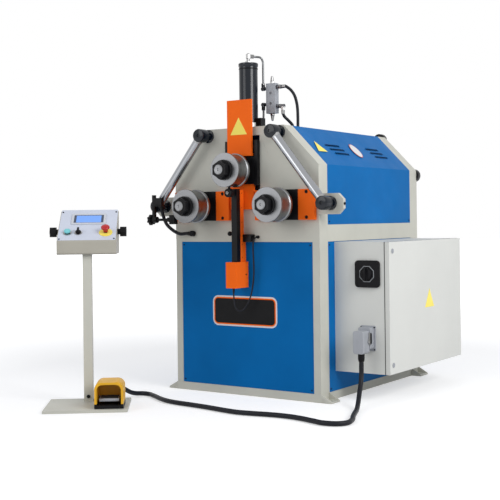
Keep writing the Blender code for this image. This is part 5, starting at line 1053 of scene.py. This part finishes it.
class BENDER_OT_tie_rods(bpy.types.Operator):
    """Chromed tie rods between round black heads with hexagon sockets"""

    bl_idname = "bender.tie_rods"
    bl_label = "Tie rods"

    def execute(self, context):
        y = FRONT - 0.060
        for word, side in (("left", -1), ("right", 1)):
            top = Vector((side * 0.198, y, 1.208))
            bottom = Vector((side * 0.460, y, 0.882))
            run = (bottom - top).normalized()
            heads = []
            for centre in (top, bottom):
                front = centre.y - 0.026
                depth = FRONT - 0.0003 - front
                head = turned([(0, 0), (0.026, 0), (0.0295, 0.0015), (0.031, 0.005), (0.031, 0.0495),
                               (0.0285, 0.052), (0.019, 0.0545), (0.019, depth - 0.012),
                               (0.031, depth - 0.008), (0.031, depth - 0.001), (0.030, depth), (0, depth)],
                              (centre.x, front, centre.z), steps=72)
                socket = extruded(polygon((centre.x, centre.z), 0.0080, 6), "Y", front - 0.01, front + 0.004)
                heads.append(carved(head, socket))
            rings = [round_bar(end + way * 0.024, end + way * 0.036, 0.0225, 0.0215)
                     for end, way in ((top, run), (bottom, -run))]
            add(word + "_tie_rings", combined(*rings), word + "_tie_rod", ["zinc"], crease=30)
            add(word + "_tie_heads", combined(*heads), word + "_tie_rod", ["enamel"],
                crease=30)
            add(word + "_tie_bar", round_bar(top + run * 0.023, bottom - run * 0.023, 0.020, steps=72),
                word + "_tie_rod", ["chrome"], (word + "_tie_rod",), crease=30)
        return {"FINISHED"}


# Gauge and guide

class BENDER_OT_gauge(bpy.types.Operator):
    """Radius gauge: bracket and encoder box, sliding bar, follower, knob and sensor"""

    bl_idname = "bender.gauge"
    bl_label = "Radius gauge"

    def execute(self, context):
        refined("gauge_bracket", ["orange", "black"], 0.0008,
                lambda c, n: 1 if c.x > 0.0132 and c.z > 0.70 else 0)
        refined("gauge_bar", ["black", "orange"], 0.0006,
                lambda c, n: 1 if c.y > -0.5592 and c.z < 0.951 else 0)
        low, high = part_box("gauge_follower")
        x, z = centre_of("gauge_follower")
        width = high.y - low.y
        follower = turned([(0.0073, 0), (0.0085, 0), (0.0095, 0.0012), (0.0150, 0.0012), (0.0160, 0),
                           (0.018, 0), (0.020, 0.002), (0.020, width - 0.002), (0.018, width),
                           (0.0073, width)], (x, low.y, z), steps=64)
        add("gauge_follower_ring", follower, "gauge_follower", ["black"], ("gauge_follower",),
            crease=30)
        pin = turned([(0, 0.0015), (0.003, 0.0015), (0.0045, 0), (0.0062, 0), (0.0068, 0.0006),
                      (0.0068, 0.004), (0, 0.004)], (x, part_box("gauge_bar")[0].y - 0.0004, z), steps=48)
        add("gauge_pin_head", pin, "gauge_bar", ["zinc"], crease=30)
        low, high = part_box("gauge_knob")
        middle = Vector((low.x + 0.011, (low.y + high.y) / 2, (low.z + high.z) / 2))
        ball = [(0.011 * math.sin(math.pi * i / 24), -0.011 * math.cos(math.pi * i / 24))
                for i in range(1, 21)]
        ball = [(0, -0.011)] + ball + [(0.005, 0.0102), (0.005, 0.0417), (0, 0.0417)]
        add("gauge_knob_ball", turned(ball, middle, (1, 0, 0), 40), "gauge_knob", ["plastic"],
            ("gauge_knob",), crease=40)
        gland = combined(hexagon((0.078, FRONT - 0.0004, 0.733), (0.078, FRONT - 0.006, 0.733), 0.0135),
                         round_bar((0.078, FRONT - 0.005, 0.733), (0.078, FRONT - 0.017, 0.733), 0.0068,
                                   0.0045))
        add("gauge_cable_gland", gland, "gauge_cable", ["plastic"], crease=32)
        relief = turned([(0, 0), (0.0042, 0), (0.0058, 0.020), (0.0058, 0.0245), (0, 0.0245)],
                        (-0.018, -0.571, 0.4772), (0, 0, 1), 32)
        add("gauge_cable_relief", relief, "gauge_cable", ["rubber"], crease=32)
        return {"FINISHED"}


class BENDER_OT_guide(bpy.types.Operator):
    """Lateral guide on the left: arm, screw with its star knob, pad and hose fitting"""

    bl_idname = "bender.guide"
    bl_label = "Lateral guide"

    def execute(self, context):
        refined("guide_arm", ["black", "black_edge"], 0.0008)
        refined("guide_knob", ["plastic"], 0.0012)
        refined("guide_pad", ["plastic"], 0.0012)
        x, z = -0.292, 0.750
        fitting = combined(round_bar((x, FRONT - 0.026, z), (x, FRONT - 0.0003, z), 0.013, chamfer=0.003),
                           round_bar((x, FRONT - 0.014, z), (x - 0.024, FRONT - 0.014, z), 0.0105, 0.0096))
        add("guide_hose_fitting", fitting, "guide_hose", ["plastic"], crease=32)
        cap = round_bar((-0.411, -0.600, 0.8797), (-0.411, -0.600, 0.8647), 0.0094, 0.0086)
        add("guide_hose_cap", cap, "guide_hose", ["plastic"], crease=32)
        return {"FINISHED"}


# Cabinet, switch and connector

def cabinet_rule(c, n):
    """Material of a face of the cabinet's box: paint outside, its gear plate and devices inside."""
    low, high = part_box("cabinet_box")
    inside = (low.x + 0.005 < c.x < high.x - 0.004 and low.y + 0.03 < c.y < high.y - 0.03
              and low.z + 0.03 < c.z <= high.z - 0.03)
    if not inside:
        return 0
    return 2 if c.x < 0.4216 else 1


class BENDER_OT_cabinet(bpy.types.Operator):
    """Electrical cabinet with its door, hinges and quarter-turn locks"""

    bl_idname = "bender.cabinet"
    bl_label = "Cabinet"

    def execute(self, context):
        refined("cabinet_box", ["cabinet", "gear_grey", "zinc"], 0.0012, cabinet_rule)
        refined("cabinet_door", ["cabinet", "cabinet_edge"], 0.0020)
        low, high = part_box("cabinet_door")
        around, within = (rounded(low.y - out, high.y + out, low.z - out, high.z + out, 0.002)
                          for out in (0.0006, -0.0004))
        seal = carved(extruded(around, "X", low.x - 0.0036, low.x - 0.0002),
                      extruded(within, "X", low.x - 0.1, low.x + 0.1))
        add("cabinet_door_seal", seal, "cabinet_box", ["seal"])
        for word in ("lower", "upper"):
            node = word + "_cabinet_lock"
            low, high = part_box(node)
            y, z = (low.y + high.y) / 2, (low.z + high.z) / 2
            face = high.x
            disc = turned([(0, 0), (0.0062, 0), (0.0062, face - low.x - 0.0028),
                           (0.0105, face - low.x - 0.0027), (0.011, face - low.x - 0.0010),
                           (0.0098, face - low.x), (0, face - low.x)], (low.x, y, z), (1, 0, 0), 48)
            slot = block((face - 0.0016, y - 0.0012, z - 0.0075), (face + 0.01, y + 0.0012, z + 0.0075))
            add(node + "_body", carved(disc, slot), node, ["cast"], (node,), crease=30)
        return {"FINISHED"}


class BENDER_OT_switch(bpy.types.Operator):
    """Main switch: square plate, ring and turning grip"""

    bl_idname = "bender.switch"
    bl_label = "Main switch"

    def execute(self, context):
        refined("main_switch_plate", ["plastic"], 0.0)
        refined("main_switch_knob", ["plastic"], 0.0016)
        centre, face = centre_of("main_switch_plate"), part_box("main_switch_plate")[0].y
        ring = carved(extruded(polygon(centre, 0.0385, 8, math.pi / 8), "Y", face - 0.0018, face + 0.0004),
                      extruded(polygon(centre, 0.0345, 8, math.pi / 8), "Y", face - 0.01, face + 0.01))
        add("main_switch_ring", ring, "main_switch_plate", ["gear_grey"], edge=0.0004)
        return {"FINISHED"}


class BENDER_OT_connector(bpy.types.Operator):
    """Mains connector: base on the wall, hood with its two levers, and the cable gland"""

    bl_idname = "bender.connector"
    bl_label = "Mains connector"

    def execute(self, context):
        low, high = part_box("connector_base")
        z = centre_of("connector_base")[1]
        flange = extruded(rounded(low.x, high.x, low.z, high.z, 0.006), "Y", high.y - 0.006, high.y)
        body = extruded(rounded(low.x + 0.008, high.x - 0.008, low.z + 0.012, high.z - 0.006, 0.006), "Y",
                        low.y, high.y - 0.0055)
        add("connector_base_body", combined(flange, body), "connector_base", ["cast"],
            ("connector_base",), edge=0.0010)
        hood_low, hood_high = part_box("connector_hood")
        bottom = hood_low.z + 0.036
        hood = extruded(rounded(hood_low.x, hood_high.x, bottom, hood_high.z, 0.010), "Y", hood_low.y,
                        hood_high.y)
        add("connector_hood_body", hood, "connector_hood", ["cast"], ("connector_hood",),
            edge=0.0030)
        levers = []
        for side in (-1, 1):
            wall = hood_low.x if side < 0 else hood_high.x
            edges = sorted((wall + side * 0.0035, wall + side * 0.0006))
            levers.append(extruded([(hood_high.y + 0.016, z + 0.026), (hood_high.y + 0.016, z - 0.020),
                                    (hood_high.y - 0.006, z - 0.026), (hood_high.y - 0.020, z - 0.010),
                                    (hood_high.y - 0.010, z + 0.010), (hood_high.y - 0.012, z + 0.030)], "X",
                                   *edges))
            levers.append(round_bar((wall - side * 0.002, hood_high.y - 0.009, z - 0.012),
                                    (wall + side * 0.0050, hood_high.y - 0.009, z - 0.012), 0.004))
        add("connector_levers", combined(*levers), "connector_hood", ["zinc"], edge=0.0005)
        gx, gy = GLAND
        gland = combined(hexagon((gx, gy, bottom + 0.002), (gx, gy, bottom - 0.009), 0.029),
                         turned([(0, 0), (0.0118, 0), (0.0128, 0.002), (0.0145, 0.012), (0.0145, 0.027),
                                 (0, 0.027)], (gx, gy, bottom - 0.035), (0, 0, 1), 48))
        add("connector_gland", gland, "connector_hood", ["plastic"], crease=32)
        return {"FINISHED"}


class BENDER_OT_power_unit(bpy.types.Operator):
    """Oil tank and pump motor inside the lower housing"""

    bl_idname = "bender.power_unit"
    bl_label = "Power unit"

    def execute(self, context):
        refined("power_unit", ["grey", "blue"], 0.0, lambda c, n: 1 if c.z > 0.2800 else 0)
        return {"FINISHED"}


# Console and pedal

PANEL_SLOPE = math.atan2(0.140, 0.210)
PANEL = CONSOLE @ Matrix.Translation((-0.004, 0.040, 0.728)) @ Matrix.Rotation(PANEL_SLOPE, 4, "X")


def control_rule(c, n):
    """Collars on the console's sloping face, told from their height above it."""
    place = PANEL.inverted() @ c
    if place.z < 0.0004:
        return 0
    return 2 if abs(place.x - STOP_X) < 0.031 else 1


class BENDER_OT_console(bpy.types.Operator):
    """Stand with its post, and the tilting box with its face, display and controls"""

    bl_idname = "bender.console"
    bl_label = "Console"

    def execute(self, context):
        refined("console_stand", ["grey", "grey_edge"], 0.0012)
        refined("console_box", ["console", "zinc", "marker"], 0.0008, control_rule)
        length = math.hypot(0.140, 0.210)
        face = carved(extruded(rounded(-0.1285, 0.1285, 0.004, length - 0.004, 0.005), "Z", 0.0001, 0.0011),
                      *[extruded(polygon((x, CONTROL_Y), r + 0.0006, 48), "Z", -0.01, 0.01)
                        for x, r in ((START_X, 0.019), (SELECTOR_X, 0.017), (STOP_X, 0.030))])
        add("console_face_plate", moved(face, PANEL), "console_box", ["face"], edge=0.0003)

        def plate(width, height, radius, low, high):
            """A rounded plate around the middle of the display; width and height are halves."""
            middle = 0.168
            return extruded(rounded(-width, width, middle - height, middle + height, radius), "Z", low, high)

        bezel = carved(plate(0.077, 0.042, 0.004, 0.0012, 0.006), plate(0.067, 0.032, 0.0015, 0.0035, 0.02))
        add("display_bezel", moved(bezel, PANEL), "display", ["bezel"], ("display",),
            edge=0.0006)
        mask = plate(0.0665, 0.0315, 0.001, 0.0030, 0.0038)
        add("display_mask", moved(mask, PANEL), "display", ["screen_edge"])
        screen = plate(0.056, 0.0275, 0.001, 0.0036, 0.0042)
        add("display_screen", moved(screen, PANEL), "display", ["screen"])

        for word in ("left", "right"):
            refined(word + "_clamp_knob", ["plastic"], 0.0020)
        refined("start_button", ["cyan"], 0.0008)
        low, high = 0.0105, 0.0152
        centre = turned([(0, low), (0.0090, low), (0.0090, high - 0.0005), (0.0085, high), (0, high)],
                        (START_X, CONTROL_Y, 0), (0, 0, 1), 40)
        add("start_button_centre", moved(centre, PANEL), "start_button", ["white"], crease=35)
        refined("selector", ["plastic"], 0.0008)
        cap = turned([(0, 0.0084), (0.0078, 0.0084), (0.0078, 0.0093), (0.011, 0.0094), (0.011, 0.0203),
                      (0.0165, 0.0225), (0.0190, 0.0262), (0.0195, 0.0293), (0.0185, 0.0325),
                      (0.0150, 0.0356), (0.0085, 0.0376), (0, 0.0383)], (STOP_X, CONTROL_Y, 0), (0, 0, 1), 64)
        add("stop_button_cap", moved(cap, PANEL), "stop_button", ["red"], ("stop_button",),
            crease=40)
        return {"FINISHED"}


class BENDER_OT_pedal(bpy.types.Operator):
    """Foot pedal: moulded hood and ribbed treadle"""

    bl_idname = "bender.pedal"
    bl_label = "Foot pedal"

    def execute(self, context):
        back = PEDAL_BACK[1] - 0.0101
        refined("pedal_hood", ["yellow", "plastic"], 0.0022,
                lambda c, n: 1 if (CONSOLE.inverted() @ c).y > back or c.z < PEDAL_BASE else 0, PEDAL_BASE)
        refined("treadle", ["cast"], 0.0010)
        return {"FINISHED"}


# Things that repeat, placed by geometry nodes

def scatter_tree(name, label):
    """Instances of one shape on points that say which way it faces, which way it lies and its size."""
    tree = bpy.data.node_groups.new(name, "GeometryNodeTree")
    tree.interface.new_socket("Geometry", in_out="INPUT", socket_type="NodeSocketGeometry")
    tree.interface.new_socket(label, in_out="INPUT", socket_type="NodeSocketObject")
    tree.interface.new_socket("Finish", in_out="INPUT", socket_type="NodeSocketMaterial")
    tree.interface.new_socket("Geometry", in_out="OUTPUT", socket_type="NodeSocketGeometry")
    nodes = tree.nodes
    into = nodes.new("NodeGroupInput")
    out = nodes.new("NodeGroupOutput")
    shape = nodes.new("GeometryNodeObjectInfo")
    spots = nodes.new("GeometryNodeInstanceOnPoints")
    real = nodes.new("GeometryNodeRealizeInstances")
    paint = nodes.new("GeometryNodeSetMaterial")

    def named(attribute, kind):
        node = nodes.new("GeometryNodeInputNamedAttribute")
        node.data_type = kind
        preset(node, {"Name": attribute})
        return next(s for s in node.outputs if s.enabled and s.name == "Attribute")

    def aligned(axis, pivot, vector, rotation=None):
        node = nodes.new("FunctionNodeAlignRotationToVector")
        node.axis = axis
        node.pivot_axis = pivot
        link(tree, vector, node.inputs["Vector"])
        if rotation is not None:
            link(tree, rotation, node.inputs["Rotation"])
        return node.outputs["Rotation"]

    faced = aligned("Z", "AUTO", named("facing", "FLOAT_VECTOR"))
    laid = aligned("X", "Z", named("lying", "FLOAT_VECTOR"), faced)
    link(tree, into.outputs["Geometry"], spots.inputs["Points"])
    link(tree, into.outputs[label], shape.inputs["Object"])
    link(tree, shape.outputs["Geometry"], spots.inputs["Instance"])
    link(tree, laid, spots.inputs["Rotation"])
    link(tree, named("size", "FLOAT"), spots.inputs["Scale"])
    link(tree, spots.outputs["Instances"], real.inputs["Geometry"])
    link(tree, real.outputs["Geometry"], paint.inputs["Geometry"])
    link(tree, into.outputs["Finish"], paint.inputs["Material"])
    link(tree, paint.outputs["Geometry"], out.inputs["Geometry"])
    return tree


def scattered(name, tree, label, shape, spots, finish, carrier):
    """One plain mesh with the shape at each spot: (place, facing, lying, size)."""
    bm = bmesh.new()
    for place, _, _, _ in spots:
        bm.verts.new(place)
    holder = plain_object("spots", bm)
    mesh = holder.data
    for attribute, kind, index in (("facing", "FLOAT_VECTOR", 1), ("lying", "FLOAT_VECTOR", 2),
                                   ("size", "FLOAT", 3)):
        layer = mesh.attributes.new(attribute, kind, "POINT")
        values = [spot[index] for spot in spots]
        if kind == "FLOAT":
            layer.data.foreach_set("value", values)
        else:
            layer.data.foreach_set("vector", [c for v in values for c in v])
    modifier = holder.modifiers.new("scatter", "NODES")
    modifier.node_group = tree
    for item in tree.interface.items_tree:
        if item.name == label:
            modifier[item.identifier] = shape
        elif item.name == "Finish":
            modifier[item.identifier] = LOOKS[finish]
    bm = evaluated(holder)
    if not bm.faces:
        raise RuntimeError(f"{name}: the node tree made nothing")
    return add(name, bm, carrier, [finish])


def screw_shape(settings):
    """A socket head screw that stands on its own origin."""
    r, h = settings.head, settings.height
    head = turned([(0, -0.0004), (r, -0.0004), (r, h - 0.0006), (r - 0.0006, h), (0, h)], (0, 0, 0),
                  (0, 0, 1), 28)
    socket = extruded(polygon((0, 0), r * settings.socket, 6), "Z", h * 0.35, h + 0.01)
    return plain_object("screw_shape", carved(head, socket))


TO_FRONT, TO_RIGHT, UP = (0, -1, 0), (1, 0, 0), (0, 0, 1)


def front_corners(node, inset, rise, size, face=None):
    """A screw in each corner of a node's front, or of the plane Y = face."""
    low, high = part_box(node)
    return [((x, low.y if face is None else face, z), TO_FRONT, UP, size)
            for x in (low.x + inset, high.x - inset) for z in (low.z + rise, high.z - rise)]


def screw_spots():
    """Screws by the CAD node they sit on: (place, facing, lying, size)."""
    spots = {}
    for word in ("left", "right"):
        for part in ("inner", "outer"):
            low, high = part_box(f"{word}_{part}_clamp")
            spots[f"{word}_{part}_clamp"] = [(((low.x + high.x) / 2, low.y + 0.0068, z), TO_FRONT, UP, 1.9)
                                             for z in (low.z + 0.012, high.z - 0.012)]
    spots["front_panel"] = front_corners("front_panel", 0.012, 0.014, 0.9)
    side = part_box("right_side_panel")
    spots["right_side_panel"] = [((side[1].x, y, z), TO_RIGHT, UP, 0.9)
                                 for y in (side[0].y + 0.012, side[1].y - 0.012)
                                 for z in (side[0].z + 0.014, side[1].z - 0.014)]
    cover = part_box("upper_cover")
    spots["upper_cover"] = [((s * cover[1].x, y, 0.800), (s, 0, 0), UP, 0.9) for s in (-1, 1)
                            for y in (cover[0].y + 0.014, cover[1].y - 0.014)]
    spots["gauge_bar"] = [((0.0107, -0.543, z), TO_RIGHT, UP, 0.8)
                          for z in (0.935, 0.868, 0.801, 0.700, 0.640)]
    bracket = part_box("gauge_bracket")
    spots["gauge_bracket"] = [((bracket[0].x + 0.056, -0.536, bracket[0].z + 0.060), TO_RIGHT, UP, 0.8)]
    spots["main_switch_plate"] = front_corners("main_switch_plate", 0.011, 0.011, 0.9)
    spots["connector_base"] = front_corners("connector_base", 0.0045, 0.007, 0.8,
                                            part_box("connector_base")[1].y - 0.006)
    out = PANEL.to_3x3() @ Vector((0, 0, 1))
    across = PANEL.to_3x3() @ Vector((1, 0, 0))
    spots["console_box"] = [(tuple(PANEL @ Vector((x, y, 0.0011))), tuple(out), tuple(across), 0.9)
                            for x in (-0.121, 0.121) for y in (0.013, 0.228)]
    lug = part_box("main_frame")
    spots["main_frame"] = [((s * lug[1].x, FRONT + 0.010, 0.879), (s, 0, 0), TO_RIGHT, 1.6) for s in (-1, 1)]
    forward = tuple(CONSOLE.to_3x3() @ Vector((0, -1, 0)))
    spots["console_stand"] = [(on_console(-0.004, 0.066, 0.035), forward, UP, 2.0)]
    return spots


class BENDER_OT_screws(bpy.types.Operator):
    """Socket head screws, placed by geometry nodes with one mesh for each CAD body"""

    bl_idname = "bender.screws"
    bl_label = "Screws"

    def execute(self, context):
        tree = scatter_tree("scatter_screws", "Screw")
        shape = screw_shape(context.scene.bender_screws)
        by_body = {}
        for node, spots in screw_spots().items():
            by_body.setdefault(BODY[node], []).extend(spots)
        for body, spots in by_body.items():
            scattered(f"screws_{body}", tree, "Screw", shape, spots, "black", body)
        bpy.data.objects.remove(shape)
        return {"FINISHED"}


class BENDER_OT_louvres(bpy.types.Operator):
    """Raised lips around the slots in the cover's slopes"""

    bl_idname = "bender.louvres"
    bl_label = "Slot lips"

    def execute(self, context):
        lip = context.scene.bender_sheet.lip
        outline = rounded(-0.0072, 0.0072, -0.0682, 0.0682, 0.0071, 8)
        hole = rounded(-0.0060, 0.0060, -0.0670, 0.0670, 0.0059, 8)
        shape = plain_object("lip_shape",
                             carved(extruded(outline, "Z", -0.0002, lip), extruded(hole, "Z", -0.01, 0.01)))
        tree = scatter_tree("scatter_lips", "Lip")
        fall_angle = math.atan2(SLOPE_TOP.z - SLOPE_BOTTOM.z, SLOPE_BOTTOM.x - SLOPE_TOP.x)
        spots = []
        for side in (-1, 1):
            fall = Vector((side * math.cos(fall_angle), 0, -math.sin(fall_angle)))
            out = Vector((side * math.sin(fall_angle), 0, math.cos(fall_angle)))
            middle = Vector((side * (SLOPE_TOP.x + 0.105 / math.tan(fall_angle)), 0,
                             1.135)) + out * COVER_WALL
            for group in (0.308, 0.709):
                for order in (-1, 0, 1):
                    place = middle + fall * 0.027 * order + Vector((0, FRONT + group + 0.015 * order, 0))
                    spots.append((tuple(place), tuple(out), tuple(fall), 1.0))
        scattered("cover_slot_lips", tree, "Lip", shape, spots, "blue", "upper_cover")
        bpy.data.objects.remove(shape)
        return {"FINISHED"}


class BENDER_OT_ribs(bpy.types.Operator):
    """Grip ribs across the treadle"""

    bl_idname = "bender.ribs"
    bl_label = "Treadle ribs"

    def execute(self, context):
        shape = plain_object("rib_shape",
                             extruded([(-0.0015, 0), (0.0015, 0), (0.0010, 0.0016), (-0.0010, 0.0016)], "X",
                                      -0.038, 0.038))
        tree = scatter_tree("scatter_ribs", "Rib")
        back = PEDAL_BACK[1] - 0.0103 - 0.010 - 0.014
        out, across = (tuple(CONSOLE.to_3x3() @ Vector(axis)) for axis in ((0, 0, 1), (1, 0, 0)))
        spots = [(on_console(0.100, back - 0.014 - 0.008 * i, 0.0523), out, across, 1.0) for i in range(10)]
        scattered("treadle_ribs", tree, "Rib", shape, spots, "rubber", "treadle")
        bpy.data.objects.remove(shape)
        return {"FINISHED"}


# Panel and registration

STEPS = (BENDER_OT_stage, BENDER_OT_cords, BENDER_OT_frame, BENDER_OT_panels, BENDER_OT_markers,
         BENDER_OT_rolls, BENDER_OT_bearings, BENDER_OT_slide, BENDER_OT_cylinder, BENDER_OT_valve,
         BENDER_OT_tie_rods, BENDER_OT_gauge, BENDER_OT_guide, BENDER_OT_cabinet, BENDER_OT_switch,
         BENDER_OT_connector, BENDER_OT_power_unit, BENDER_OT_console, BENDER_OT_pedal, BENDER_OT_screws,
         BENDER_OT_louvres, BENDER_OT_ribs)


class BENDER_PT_sidebar(bpy.types.Panel):
    """Lists the machine's settings and the steps that build it"""

    bl_idname = "BENDER_PT_sidebar"
    bl_label = "Profile bending machine"
    bl_space_type = "VIEW_3D"
    bl_region_type = "UI"
    bl_category = "Bender"

    def draw(self, context):
        for name, group in SETTINGS.items():
            column = self.layout.column(align=True)
            for field in group.__annotations__:
                column.prop(getattr(context.scene, name), field)
        for step in STEPS:
            self.layout.operator(step.bl_idname)


def register():
    for group in SETTINGS.values():
        bpy.utils.register_class(group)
    for step in STEPS:
        bpy.utils.register_class(step)
    bpy.utils.register_class(BENDER_PT_sidebar)
    for name, group in SETTINGS.items():
        setattr(bpy.types.Scene, name, bpy.props.PointerProperty(type=group))


def unregister():
    for name in SETTINGS:
        delattr(bpy.types.Scene, name)
    bpy.utils.unregister_class(BENDER_PT_sidebar)
    for step in STEPS:
        bpy.utils.unregister_class(step)
    for group in SETTINGS.values():
        bpy.utils.unregister_class(group)


def main():
    register()
    make_looks(bpy.context.scene.bender_finish)
    for step in STEPS:
        area, name = step.bl_idname.split(".")
        getattr(getattr(bpy.ops, area), name)()


if __name__ == "__main__":
    main()
